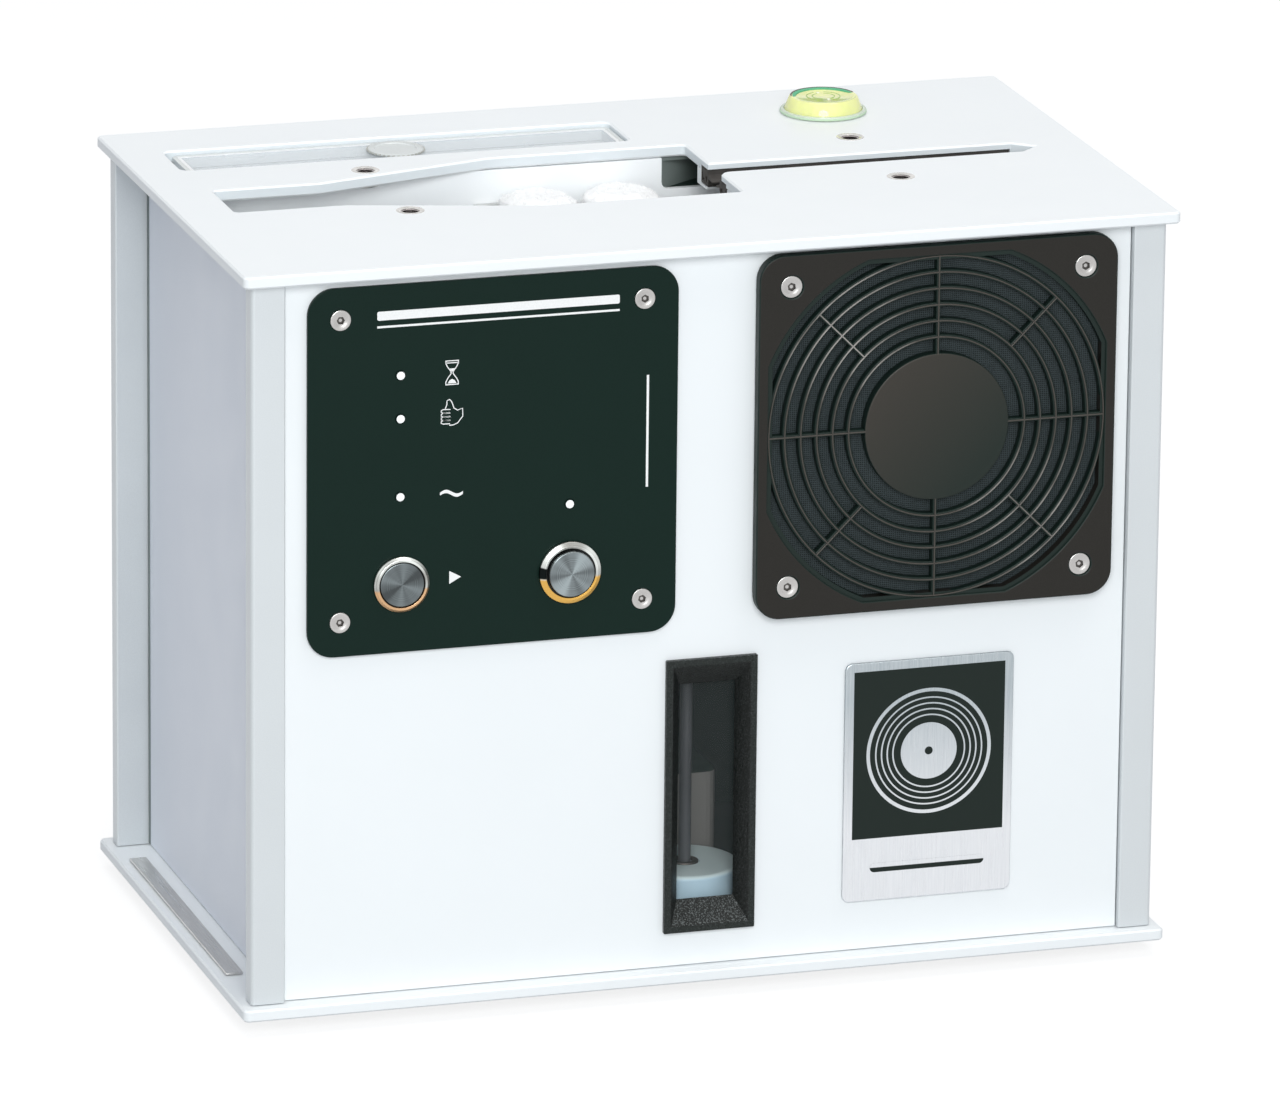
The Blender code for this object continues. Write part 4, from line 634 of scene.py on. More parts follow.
class Growth(Tree):
    """A geometry node tree with named inputs, run once to give a plain mesh."""

    def __init__(self, name, **sockets):
        self.tree = bpy.data.node_groups.new(name, "GeometryNodeTree")
        face = self.tree.interface
        for way in ("INPUT", "OUTPUT"):
            face.new_socket("Geometry", in_out=way, socket_type="NodeSocketGeometry")
        self.names = {}
        for key, kind in sockets.items():
            label = key.replace("_", " ").title()
            made = face.new_socket(label, in_out="INPUT", socket_type="NodeSocket" + kind)
            self.names[key] = (label, made.identifier)
        self.source = self.node("NodeGroupInput").outputs
        self.result = self.node("NodeGroupOutput").inputs

    def value(self, key):
        return self.source[self.names[key][0]]

    def attribute(self, name, kind):
        return self.first("GeometryNodeInputNamedAttribute", {"Name": name}, data_type=kind)

    def about_z(self, angle):
        return self.first("FunctionNodeAxisAngleToRotation", {"Axis": (0, 0, 1), "Angle": angle})

    def turned(self, rotation, by):
        return self.first("FunctionNodeRotateRotation", {"Rotation": rotation, "Rotate By": by},
                          rotation_space="LOCAL")

    def random(self, low, high, seed, kind="FLOAT"):
        """A random number or vector; the node has its own sockets for each."""
        at, out = (2, 1) if kind == "FLOAT" else (0, 0)
        return self.node("FunctionNodeRandomValue", {at: low, at + 1: high, "Seed": seed},
                         data_type=kind).outputs[out]

    def instances(self, points, instance, **more):
        return self.first("GeometryNodeInstanceOnPoints", {"Points": points, "Instance": instance, **more})

    def line_of(self, count):
        """Points that lie on each other, one for each copy."""
        return self.first("GeometryNodeMeshLine", {"Count": count, "Offset": (0, 0, 0)}, mode="OFFSET")

    def shape(self, key):
        return self.node("GeometryNodeObjectInfo", {"Object": self.value(key)}).outputs["Geometry"]

    def together(self, *parts):
        made = self.node("GeometryNodeJoinGeometry")
        for part in parts:
            self.tree.links.new(part, made.inputs[0])
        return made.outputs[0]

    def finish(self, geometry, coat=True):
        """Ends the tree in real geometry, with its material unless the parts bring their own."""
        real = self.first("GeometryNodeRealizeInstances", {"Geometry": geometry})
        if coat:
            real = self.first("GeometryNodeSetMaterial", {"Geometry": real, "Material": self.value("material")})
        self.tree.links.new(real, self.result[0])
        return self

    def run(self, mesh, **values):
        carrier = new_object("carrier", mesh)
        grown = carrier.modifiers.new("growth", "NODES")
        grown.node_group = self.tree
        for key, value in values.items():
            grown[self.names[key][1]] = value
        data = evaluated(carrier)
        bpy.data.objects.remove(carrier)
        return data


def point_mesh(places, **attributes):
    mesh = bpy.data.meshes.new("places")
    mesh.from_pydata([tuple(place) for place in places], [], [])
    for name, values in attributes.items():
        vectors = hasattr(values[0], "__len__")
        attribute = mesh.attributes.new(name, "FLOAT_VECTOR" if vectors else "FLOAT", "POINT")
        if vectors:
            attribute.data.foreach_set("vector", [number for value in values for number in value])
        else:
            attribute.data.foreach_set("value", values)
    return mesh


def screw_tree():
    """Screw heads set on points, facing along an attribute and turned at random about themselves."""
    made = Growth("screw_heads", screw="Object", seed="Int")
    aligned = made.first("FunctionNodeAlignRotationToVector", {"Vector": made.attribute("facing", "FLOAT_VECTOR")},
                         axis="Z")
    spin = made.about_z(made.random(0.0, math.tau, made.value("seed")))
    placed = made.instances(made.source["Geometry"], made.shape("screw"), Rotation=made.turned(aligned, spin),
                            Scale=made.attribute("size", "FLOAT"))
    return made.finish(placed, coat=False)


def grille_tree():
    """Rings and spokes of a fan guard, standing in the plane of the panel."""
    made = Growth("guard_grille", hub="Float", pitch="Float", rings="Int", bar_width="Float", bar_depth="Float",
                  reach="Float", plain_rings="Int", place="Vector", material="Material")
    hub, pitch, width = (made.value(key) for key in ("hub", "pitch", "bar_width"))
    index = made.first("GeometryNodeInputIndex")
    radius = made.add(hub, made.times(made.add(index, 1.0), pitch))
    round_line = made.first("GeometryNodeCurvePrimitiveCircle", {"Resolution": 144, "Radius": 1.0}, mode="RADIUS")
    circles = made.instances(made.line_of(made.value("rings")), round_line, Scale=radius)

    def spokes(count, start, end, first_turn):
        line = made.first("GeometryNodeCurvePrimitiveLine", {
            name: made.first("ShaderNodeCombineXYZ", {"X": run})
            for name, run in (("Start", start), ("End", end))})
        cut = made.first("GeometryNodeResampleCurve", {"Curve": line, "Count": 12})
        turn = made.add(made.times(index, math.tau / count), first_turn)
        return made.instances(made.line_of(count), cut, Rotation=made.about_z(turn))

    inner, outer = (made.add(hub, made.times(made.value(key), pitch)) for key in ("plain_rings", "rings"))
    straight = spokes(4, made.math("SUBTRACT", hub, width), made.value("reach"), 0.0)
    slanted = spokes(4, inner, outer, math.pi / 4)
    real = made.first("GeometryNodeRealizeInstances", {"Geometry": made.together(circles, straight, slanted)})
    section = made.first("GeometryNodeCurvePrimitiveQuadrilateral", {
        "Width": width, "Height": made.value("bar_depth")}, mode="RECTANGLE")
    softened = made.first("GeometryNodeFilletCurve", {
        "Curve": section, "Count": 2, "Radius": made.times(width, 0.3)}, mode="POLY")
    swept = made.first("GeometryNodeCurveToMesh", {
        "Curve": made.first("GeometryNodeSetCurveNormal", {"Curve": real}, mode="Z_UP"),
        "Profile Curve": softened, "Fill Caps": True})
    return made.finish(made.first("GeometryNodeTransform", {
        "Geometry": swept, "Rotation": (math.pi / 2, 0, 0), "Translation": made.value("place")}))


def tuft_tree():
    """Short curled fibres scattered over a fleece surface."""
    made = Growth("fleece_tufts", tuft="Object", density="Float", length="Float", seed="Int", material="Material")
    skin, seed = made.source["Geometry"], made.value("seed")
    scattered = made.node("GeometryNodeDistributePointsOnFaces", {
        "Mesh": skin, "Density": made.value("density"), "Seed": seed}, distribute_method="RANDOM").outputs
    lean = made.random((-0.9, -0.9, 0.0), (0.9, 0.9, math.tau), seed, "FLOAT_VECTOR")
    turned = made.turned(scattered["Rotation"], made.first("FunctionNodeEulerToRotation", {0: lean}))
    scale = made.times(made.random(0.5, 1.25, seed), made.value("length"))
    placed = made.instances(scattered["Points"], made.shape("tuft"), Rotation=turned, Scale=scale)
    return made.finish(made.together(placed, skin))


def bead_tree():
    """Equal ribs stood round a circle, as on a knob's grip."""
    made = Growth("grip_ribs", rib="Object", count="Int", radius="Float", place="Vector", material="Material")
    count = made.value("count")
    ring = made.first("GeometryNodeMeshCircle", {"Vertices": count, "Radius": made.value("radius")})
    turn = made.math("DIVIDE", made.times(made.first("GeometryNodeInputIndex"), math.tau), count)
    placed = made.instances(ring, made.shape("rib"), Rotation=made.about_z(turn))
    return made.finish(made.first("GeometryNodeTransform", {
        "Geometry": placed, "Translation": made.value("place")}))


# ---------------------------------------------------------------- sizes and colours

def length_of(name, description, default, **limits):
    return FloatProperty(name=name, description=description, default=default, unit="LENGTH", **limits)


def number_of(name, description, default, **limits):
    return FloatProperty(name=name, description=description, default=default, **limits)


def count_of(name, description, default, **limits):
    return IntProperty(name=name, description=description, default=default, **limits)


def colour_of(name, description, default):
    return FloatVectorProperty(name=name, description=description, default=default, subtype="COLOR", min=0, max=1)


class HousingLook(bpy.types.PropertyGroup):
    edge: length_of("Plate edge", "Chamfer of the plates' edges", 0.0006, min=0.0001)
    panel_edge: length_of("Panel edge", "Rounding of the panels' edges", 0.00025, min=0.0001)
    post_round: length_of("Post rounding", "Radius of the posts' outer corner", 0.0014)
    # The side panels' colour is the white sheet painted darker and bluer as shade.
    side_colour: colour_of("Side", "Colour of the side panels", (0.80, 0.835, 0.90))
    sheet_colour: colour_of("Sheet", "Colour of plates and panels", (0.86, 0.885, 0.895))
    post_colour: colour_of("Posts", "Colour of the corner posts", (0.62, 0.65, 0.665))


class ControlLook(bpy.types.PropertyGroup):
    radius: length_of("Corner", "Corner radius of the control plate", 0.009)
    line: length_of("Line width", "Width of the printed lines", 0.00032)
    screw_radius: length_of("Screw head", "Radius of the plate's screw heads", 0.00345)
    plate_colour: colour_of("Plate", "Colour of the plate", (0.0050, 0.0165, 0.0125))
    ink_colour: colour_of("Ink", "Colour of the printed marks", (0.88, 0.88, 0.87))
    lens_colour: colour_of("Lens", "Colour of the indicator lenses", (0.97, 0.98, 0.97))


class ButtonLook(bpy.types.PropertyGroup):
    # The light and dark wedges and the warm tint are painted reflections.
    light: colour_of("Light", "Light wedges of the turned steel", (0.335, 0.385, 0.40))
    dark: colour_of("Dark", "Dark wedges of the turned steel", (0.115, 0.13, 0.135))
    warm_reflection: colour_of("Warm", "Warm tint low on the polished rings", (0.68, 0.40, 0.10))


class GuardLook(bpy.types.PropertyGroup):
    hub_radius: length_of("Hub", "Radius of the hub disc", 0.025)
    ring_pitch: length_of("Ring pitch", "Distance between rings", 0.0055167)
    rings: count_of("Rings", "Number of rings", 6, min=1)
    plain_rings: count_of("Plain rings", "Rings inside the slanted ribs", 2, min=0)
    bar_width: length_of("Bar width", "Width of rings and spokes", 0.0015)
    # The crest lines and their colour are a painted highlight on each bar.
    crest: length_of("Crest", "Width of the worn line on each bar", 0.00045)
    lip: length_of("Lip", "Width of the dark lip round the opening", 0.0014)
    crest_highlight_colour: colour_of("Crest colour", "Colour of the worn crests", (0.30, 0.28, 0.26))
    flat_reach: length_of("Flats", "Distance from the centre to the four flats", 0.057)
    corner: length_of("Corner", "Corner radius of the frame", 0.0085)
    screw_radius: length_of("Screw head", "Radius of the guard's screw heads", 0.0037)
    weave_pitch: length_of("Weave", "Thread pitch of the screen", 0.0007)
    colour: colour_of("Plastic", "Colour of the guards", (0.0165, 0.0150, 0.0125))
    thread_colour: colour_of("Thread", "Colour of the screen's threads", (0.038, 0.051, 0.055))
    gap_colour: colour_of("Gap", "Colour between the threads", (0.006, 0.011, 0.010))


class WindowLook(bpy.types.PropertyGroup):
    border: length_of("Border", "Width of the flat rim", 0.0023)
    edge: length_of("Edge", "Rounding of the rim", 0.0002)
    bezel_colour: colour_of("Surround", "Colour of the surround", (0.0085, 0.0120, 0.0105))
    tank_colour: colour_of("Tank", "Colour of the tank", (0.020, 0.046, 0.037))
    pump_colour: colour_of("Pump", "Colour of the pump", (0.30, 0.285, 0.27))
    stem_colour: colour_of("Stem", "Colour of the float's stem", (0.088, 0.090, 0.098))
    float_colour: colour_of("Float", "Colour of the float", (0.62, 0.83, 0.96))


class SlotLook(bpy.types.PropertyGroup):
    bath_colour: colour_of("Bath", "Colour of the bath", (0.945, 0.965, 0.975))
    insert_colour: colour_of("Inserts", "Colour of the inserts", (0.66, 0.65, 0.63))


class SleeveLook(bpy.types.PropertyGroup):
    swell: length_of("Swell", "Height of the fleece's soft lumps", 0.0007)
    tuft_length: length_of("Tuft", "Length of the fibres", 0.0010)
    tuft_density: number_of("Density", "Fibres in a square metre", 520000.0)
    seed: count_of("Seed", "Arrangement of the fibres", 7)
    colour: colour_of("Fleece", "Colour of the sleeves", (0.97, 0.972, 0.965))


class FilterLook(bpy.types.PropertyGroup):
    ribs: count_of("Grip ribs", "Ribs round the knob", 36, min=3)
    clear_alpha: number_of("Clearness", "Opacity of the clear cover", 0.35, min=0, max=1)
    foam_colour: colour_of("Foam", "Colour of the filter foam", (0.82, 0.86, 0.90))


class LevelLook(bpy.types.PropertyGroup):
    body_colour: colour_of("Fluid", "Colour of the fluid", (0.80, 0.825, 0.35))
    mark_colour: colour_of("Marks", "Colour of the ring marks", (0.28, 0.50, 0.10))


class TrimLook(bpy.types.PropertyGroup):
    border: length_of("Border", "Bare rim of the plate", 0.0031)
    field_share: number_of("Field", "Share of the plate's height under the dark field", 0.70, min=0.1, max=0.9)
    plate_colour: colour_of("Plate", "Colour of the plate", (0.66, 0.68, 0.71))
    field_colour: colour_of("Dark field", "Colour of the dark field", (0.0062, 0.0125, 0.0100))


class StageLook(bpy.types.PropertyGroup):
    front_power: number_of("Front light", "Power of the front lamp", 57.5, min=0)
    left_power: number_of("Left light", "Power of the lamp high on the left", 8.0, min=0)
    right_power: number_of("Right light", "Power of the lamp high on the right", 15.5, min=0)
    sky: number_of("Surround", "Level of the light from all round", 0.40, min=0)
    lens: number_of("Lens", "Focal length in millimetres", 311.1)


class MachineLook(bpy.types.PropertyGroup):
    housing: PointerProperty(type=HousingLook)
    control: PointerProperty(type=ControlLook)
    button: PointerProperty(type=ButtonLook)
    guard: PointerProperty(type=GuardLook)
    window: PointerProperty(type=WindowLook)
    slot: PointerProperty(type=SlotLook)
    sleeve: PointerProperty(type=SleeveLook)
    filter: PointerProperty(type=FilterLook)
    level: PointerProperty(type=LevelLook)
    trim: PointerProperty(type=TrimLook)
    stage: PointerProperty(type=StageLook)


groups = (HousingLook, ControlLook, ButtonLook, GuardLook, WindowLook, SlotLook, SleeveLook, FilterLook, LevelLook,
          TrimLook, StageLook)


# ---------------------------------------------------------------- housing

# The record slot: wide over the rollers, narrow between the wipers.
SLOT = mm([(-141, -14.5, 1.5), (-104, -14.5, 12), (-40, -32, 12), (28, -32, 1.5), (28, -5.8, 4), (135, -5.8, 0),
           (141.7, 0, 0), (135, 5.8, 0), (28, 5.8, 0), (28, 32, 1.5), (-40, 32, 12), (-104, 14.5, 12),
           (-141, 14.5, 1.5)])
# Section (y, z) of the white rail that holds a wiper under the top plate.
RAIL = mm([(18.5, 254.99), (18.5, 249.2), (8.8, 249.2), (8.8, 250.3), (14.3, 250.3), (14.3, 254.99)])
# Section (x, y, radius) of a post behind its outer corner.
POST = mm([(145, 90.5, 0.6), (145, 85, 0), (137, 85, 0), (137, 83.5, 0), (156.5, 83.5, 0.6)])


def mirrored(side, rows):
    return [(side * first, *rest) for first, *rest in rows]


def is_cut_wall(face):
    """Whether a face of the top sheet stands upright inside one of its holes; these faces get the sheet's white
    painted darker as shade.
    """
    spot = face.calc_center_median()
    return int(abs(face.normal.z) < 0.3 and spot.z > 0.2549 and abs(spot.x) < 0.15 and abs(spot.y) < 0.08)


class MACHINE_OT_housing(bpy.types.Operator):
    """Plates, corner posts, panels and feet"""
    bl_idname = "machine.housing"
    bl_label = "Housing"

    def execute(self, context):
        look = context.scene.record_machine.housing
        low, high, _ = extent("base_plate")
        outline = rectangle(low.x, high.x, low.y, high.y, 0.0022, 10)
        make_piece("base_sheet", slab(outline, [], low.z, high.z, "Z", look.edge, 1), ["white_sheet"],
                   ["base_plate"])
        holes = [rounded(SLOT, 8), rectangle(-0.144, 0.012, 0.042, 0.068, 0.003)]
        holes += [circle(*place, 0.0039, 32) for place in INSERTS]
        plate = carved(slab(outline, holes, TOP_UNDER, TOP_FACE, "Z", look.edge, 1),
                       (0.0275, -0.0143, 0.2540), (0.1348, 0.0143, 0.2568))
        rails = [(slab(mirrored(side, RAIL), [], 0.0283, 0.1345, "X", 0.0002, 2), 0) for side in (-1, 1)]
        # The hole walls take the sheet's colour painted darker as shade.
        make_piece("top_sheet", shade_faces(joined([(plate, 0), *rails]), is_cut_wall),
                   ["white_sheet", "painted_shade_hole_wall"], ["top_plate"])
        for side, end, name in CORNERS:
            corners = [(0.1565, 0.0905, look.post_round), *POST]
            section = rounded([(side * x, end * y, radius) for x, y, radius in corners], 10, hold=0.0002)
            make_piece(f"post_{name}", slab(section, [], WALL_LOW, WALL_HIGH, "Z", 0.0001, 1), ["satin_anodised"],
                       [f"corner_post_{name}"], crease=32)
        self.make_panels(look)
        for _, _, name in CORNERS:
            _, high, middle = extent(f"foot_{name}")
            profile = rounded([*mm([(0, 0.5, 0), (3, 0.5, 0), (3.5, 0, 0), (11, 0, 1.2)]),
                               (0.011, high.z, 0.0004), (0.0, high.z, 0.0)], 4)
            make_piece(f"foot_{name}_pad", lathe(profile, middle[:2], "Z", 48), ["black_rubber"],
                       [f"foot_{name}"])
        return {"FINISHED"}

    def make_panels(self, look):
        outline = rectangle(-0.1447, 0.1447, WALL_LOW, WALL_HIGH)
        fan = circle(*FAN_HOLE, 96)
        front = [circle(*place, 0.0018, 24) for place in INDICATORS]
        front += [*(circle(*hole, 48) for hole in BUTTON_HOLES), fan, centred(0.001, 0.0695, 0.029, 0.0922)]
        rear = [fan, centred(*INLET, 0.0306, 0.0226, 0.003), circle(-0.100, 0.0245, 0.0073, 48)]
        for name, holes, low, high in (("front", front, -0.0883, -0.0853), ("rear", rear, 0.0853, 0.0883)):
            make_piece(f"{name}_sheet", slab(outline, holes, low, high, "Y", look.panel_edge), ["white_sheet"],
                       [f"{name}_panel"])
        for name in ("left", "right"):
            low, high, _ = extent(f"side_panel_{name}")
            side = slab(rectangle(low.y, high.y, low.z, high.z), [], low.x, high.x, "X", look.panel_edge)
            make_piece(f"side_sheet_{name}", side, ["shaded_side_sheet"], [f"side_panel_{name}"])
            face, way = (low.x, -1) if low.x < 0 else (high.x, 1)
            beads = []
            for end in (-1, 1):
                across = sorted((face - way * 0.0001, face + way * 0.0004))
                along = sorted((end * 0.0820, end * 0.08345))
                foot, head = ((across[0], along[0], low.z + 0.0004), (across[1], along[1], high.z))
                beads.append((block(foot, head, 0.0001), 0))
            make_piece(f"side_seal_{name}", joined(beads), ["seal_grey"])


# ---------------------------------------------------------------- control plate and buttons

def raised(level, rows):
    """Rows of (radius, height, and a rounding) in millimetres, set on a level."""
    return [(radius, level + height, *rest) for radius, height, *rest in mm(rows)]


def moved_by(points, x, z):
    return [(px + x, pz + z) for px, pz in points]


def hourglass_marks(line):
    upper = [(-2.1, 4.0), (-2.1, 3.1), (-1.5, 1.9), (-0.35, 0.35)]
    left = upper + [(x, -z) for x, z in upper[::-1]]
    glass = mm(left + [(-x, z) for x, z in left[::-1]])
    lip = ribbon(mm([(-2.1, 3.3), (2.1, 3.3)]), line)
    pile = mm([(-1.5, -3.6), (1.5, -3.6), (0.9, -2.6), (0, -2.1), (-0.9, -2.6)])
    sand = mm([(-0.9, 1.4), (0.9, 1.4), (0, 0.3)])
    return [(shifted(glass, -line / 2), [shifted(glass, line / 2)]), (lip, []), (pile, []), (sand, [])]


def hand_marks(line):
    """A raised thumb in plain lines."""
    lines = [[(-0.9, -4.3), (0.5, -4.3), (2.0, -3.7), (3.7, -1.5), (3.6, 1.1), (1.9, 0.6), (0.7, 1.4), (-0.1, 3.6),
              (-0.8, 4.4), (-1.7, 4.0), (-1.7, 2.7), (-2.3, 1.2)]]
    for height in (0.5, -0.75, -2.0, -3.2):
        lines.append([(-0.5, height + 0.5), (-2.9, height + 0.6), (-3.6, height + 0.3), (-3.6, height - 0.3),
                      (-2.9, height - 0.6), (-0.6, height - 0.6)])
    return [(ribbon(mm(points), line), []) for points in lines]


def wave_marks():
    top, under = [], []
    for step in range(25):
        share = step / 24
        x, z = (share - 0.5) * 0.0078, 0.00075 * math.sin(share * math.tau)
        half = 0.00046 + 0.00014 * math.sin(share * math.pi)
        top.append((x, z + half))
        under.append((x, z - half))
    return [(top + under[::-1], [])]


class MACHINE_OT_control_plate(bpy.types.Operator):
    """Dark plate with printed marks and indicator lenses"""
    bl_idname = "machine.control_plate"
    bl_label = "Control Plate"

    def execute(self, context):
        look = context.scene.record_machine.control
        low, high, _ = extent("control_plate")
        outline = rectangle(low.x, high.x, low.z, high.z, look.radius, 12)
        holes = [circle(*place, 0.00156, 32) for place in INDICATORS]
        holes += [circle(*hole, 48) for hole in BUTTON_HOLES]
        holes += [circle(*place, look.screw_radius + 0.00004, 40) for place in CONTROL_SCREWS]
        make_piece("control_panel", slab(outline, holes, low.y, high.y, "Y", 0.00025), ["dark_front_plate"],
                   ["control_plate"])
        face = low.y
        marks = []
        for z, shapes in ((0.2211, hourglass_marks(look.line)), (0.2077, hand_marks(look.line)),
                          (0.1803, wave_marks())):
            marks += [(moved_by(outer, -0.0889, z), [moved_by(hole, -0.0889, z) for hole in holes])
                      for outer, holes in shapes]
        arrow = mm([(-89.5, 149.5), (-85.5, 151.7), (-89.5, 153.9)])
        bars = [centred(-0.0732, 0.2418, 0.082, 0.0030, 0.0006), centred(-0.0732, 0.2381, 0.082, 0.0007),
                centred(-0.0223, 0.1964, 0.0008, 0.038)]
        marks += [(outer, []) for outer in (arrow, *bars)]
        solids = [(slab(outer, holes, face - 0.00004, face + 0.0001, "Y"), 0) for outer, holes in marks]
        make_piece("printed_marks", joined(solids), ["white_ink"], crease=0)
        lens = raised(face, [(0, -0.58), (1.1, -0.56), (1.38, -0.5), (1.38, 1), (0, 1)])
        rim = raised(face, [(1.39, -0.47), (1.55, -0.4), (1.55, 1), (1.39, 1)])
        lenses = []
        for place in INDICATORS:
            lenses += [(lathe(lens, place, "Y", 32), 0), (lathe(rim, place, "Y", 32, ring=True), 1)]
        make_piece("indicator_lenses", joined(lenses), ["indicator_lens", "dark_front_plate"])
        return {"FINISHED"}


class MACHINE_OT_push_buttons(bpy.types.Operator):
    """Two steel push buttons with turned caps and polished rings"""
    bl_idname = "machine.push_buttons"
    bl_label = "Push Buttons"

    def execute(self, context):
        look = context.scene.record_machine.button
        # The wedges, warm tint and dark patch of each button are painted reflections.
        self.make_button(look, "start_button", cap=0.0075, rim=0.0094, gap=0.0003, wall=0.0008, phase=1.2,
                         shade=0.58, warm_reflection=(0.61, 0.38, 0.21), dark_reflection_patch=False)
        self.make_button(look, "mode_button", cap=0.00775, rim=0.0105, gap=0.0007, wall=0.001, phase=2.6,
                         shade=1.0, warm_reflection=look.warm_reflection, dark_reflection_patch=True)
        return {"FINISHED"}

    def make_button(self, look, name, cap, rim, gap, wall, phase, shade, warm_reflection, dark_reflection_patch):
        low, high, middle = extent(f"{name}_cap")
        centre, front, rear = middle[::2], low.y, high.y
        light, dark = (tuple(c * shade for c in tone) for tone in (look.light, look.dark))
        turned = turned_steel_finish(f"{name}_turned", centre, light, dark, phase)
        profile = rounded([
            (0.0, front + 0.0001, 0.0), (0.0004, front + 0.00008, 0.0), (cap, front, 0.0005),
            (cap, front + 0.003, 0.0), (0.004, front + 0.003, 0.0), (0.004, rear, 0.0), (0.0, rear, 0.0)], 4,
            hold=0.00006)
        make_piece(f"{name}_face", lathe(profile, centre, "Y", 96), [turned], [f"{name}_cap"], name)
        low, high, _ = extent(f"{name}_body")
        face, seat, bore, barrel = low.y, -0.0904, cap + gap, rim - wall
        ring = rounded([
            (rim, seat, 0.0), (rim, face + 0.0009, 0.0003), (bore + 0.0007, face, 0.0003),
            (bore, face + 0.0001, 0.0001), (bore, face + 0.0065, 0.0), (0.0043, face + 0.0065, 0.0),
            (0.0043, high.y, 0.0), (barrel, high.y, 0.0), (barrel, seat, 0.0)], 4, hold=0.00005)
        # Light and dark wedges of the polished ring are painted reflections.
        polished = turned_steel_finish(f"{name}_polished", centre, (0.82, 0.86, 0.83), (0.34, 0.34, 0.32),
                                       phase + 0.8, warm_reflection, dark_reflection_patch)
        inner, outer, near, far = cap + 0.00012, bore + 0.0002, face + 0.0012, face + 0.0024
        sleeve = lathe([(inner, near), (outer, near), (outer, far), (inner, far)], centre, "Y", 72, ring=True)
        nut = slab(circle(*centre, 0.0125, 6), [circle(*centre, barrel - 0.0001, 48)], -0.085, -0.082, "Y",
                   0.0003, 2)
        make_piece(f"{name}_ring", joined([(lathe(ring, centre, "Y", 96, ring=True), 0), (nut, 1), (sleeve, 2)]),
                   [polished, "plain_steel", "smooth_black_plastic"], [f"{name}_body"], crease=35)


# ---------------------------------------------------------------- fan guards

def guard_opening(x, z, reach, radius):
    """A round opening cut off by four flats."""
    limit = math.acos(reach / radius)
    turns = [quarter * math.pi / 2 + limit + (math.pi / 2 - 2 * limit) * step / 16
             for quarter in range(4) for step in range(17)]
    return [(x + radius * math.cos(turn), z + radius * math.sin(turn)) for turn in turns]


def border_shade(face):
    """Plain on the flat front, a painted highlight on the rounding next to it, painted shadow on the sides."""
    straight = abs(face.normal.y)
    return 0 if straight > 0.97 else 2 if straight > 0.85 else 1


class MACHINE_OT_fan_guards(bpy.types.Operator):
    """Guards with rings, spokes, hub and woven screen, front and rear"""
    bl_idname = "machine.fan_guards"
    bl_label = "Fan Guards"

    def execute(self, context):
        look = context.scene.record_machine.guard
        screen = woven_screen_finish(look.thread_colour, look.gap_colour, look.weave_pitch)
        grille = grille_tree()
        for name, end in (("front", -1), ("rear", 1)):
            low, high, middle = extent(f"{name}_fan_guard")
            x, z = centre = middle[::2]
            face, back = (low.y, high.y) if end < 0 else (high.y, low.y)
            front = face - end * 0.0003
            deep = face - end * 0.0008
            outline = centred(x, z, high.x - low.x, high.z - low.z, look.corner, 12)
            opening, wide = (guard_opening(x, z, look.flat_reach + more, 0.062 + more) for more in (0.0, look.lip))
            screws = [circle(*place, look.screw_radius + 0.00012, 40) for place in GUARD_SCREWS]
            border = slab(outline, [wide, *screws], min(face, back), max(face, back), "Y", 0.0006, 4)
            lip = slab(shifted(wide, -0.0001), [opening], min(deep, back), max(deep, back), "Y")
            hub = lathe(rounded([(0.0, front, 0.0), (look.hub_radius, front, 0.0006), (look.hub_radius, back, 0.0),
                                 (0.0, back, 0.0)], 4, hold=0.0001), centre, "Y", 96)
            # Hub sides, and the lip's faces turned away from the upper left, are painted shade.
            parts = [
                (shade_faces(border, border_shade), None),
                (shade_faces(hub, lambda side: 1 if abs(side.normal.y) < 0.8 else 3), None),
                (shade_faces(lip, lambda side: 0 if side.normal.z - side.normal.x > 0.6 else 1), None)]
            # The bars are painted in shade, and the thin crest on each bar in a painted highlight.
            for width, near, shade in ((look.bar_width, front - end * 0.0005, 1),
                                       (look.crest, front - end * 0.0001, 2)):
                parts.append((grille.run(
                    point_mesh([(0, 0, 0)]), hub=look.hub_radius, pitch=look.ring_pitch, rings=look.rings,
                    bar_width=width, bar_depth=abs(near - back), reach=look.flat_reach + 0.001,
                    plain_rings=look.plain_rings, place=(x, (near + back) / 2, z),
                    material=finish("grained_black_plastic")), shade))
            shades = ["grained_black_plastic", "painted_shade_black", crest_highlight_finish(centre, look.crest_highlight_colour),
                      hub_finish(centre, (0.040, 0.036, 0.030), (0.012, 0.019, 0.0155))]
            make_piece(f"{name}_guard", joined(parts), shades, [f"{name}_fan_guard"], crease=50)
            low, high, _ = extent(f"{name}_filter_pad")
            sheet = slab(centred(x, z, high.x - low.x, high.z - low.z, look.corner), [], low.y, high.y, "Y")
            make_piece(f"{name}_screen", sheet, [screen], [f"{name}_filter_pad"], crease=0)
        return {"FINISHED"}


# ---------------------------------------------------------------- sight window

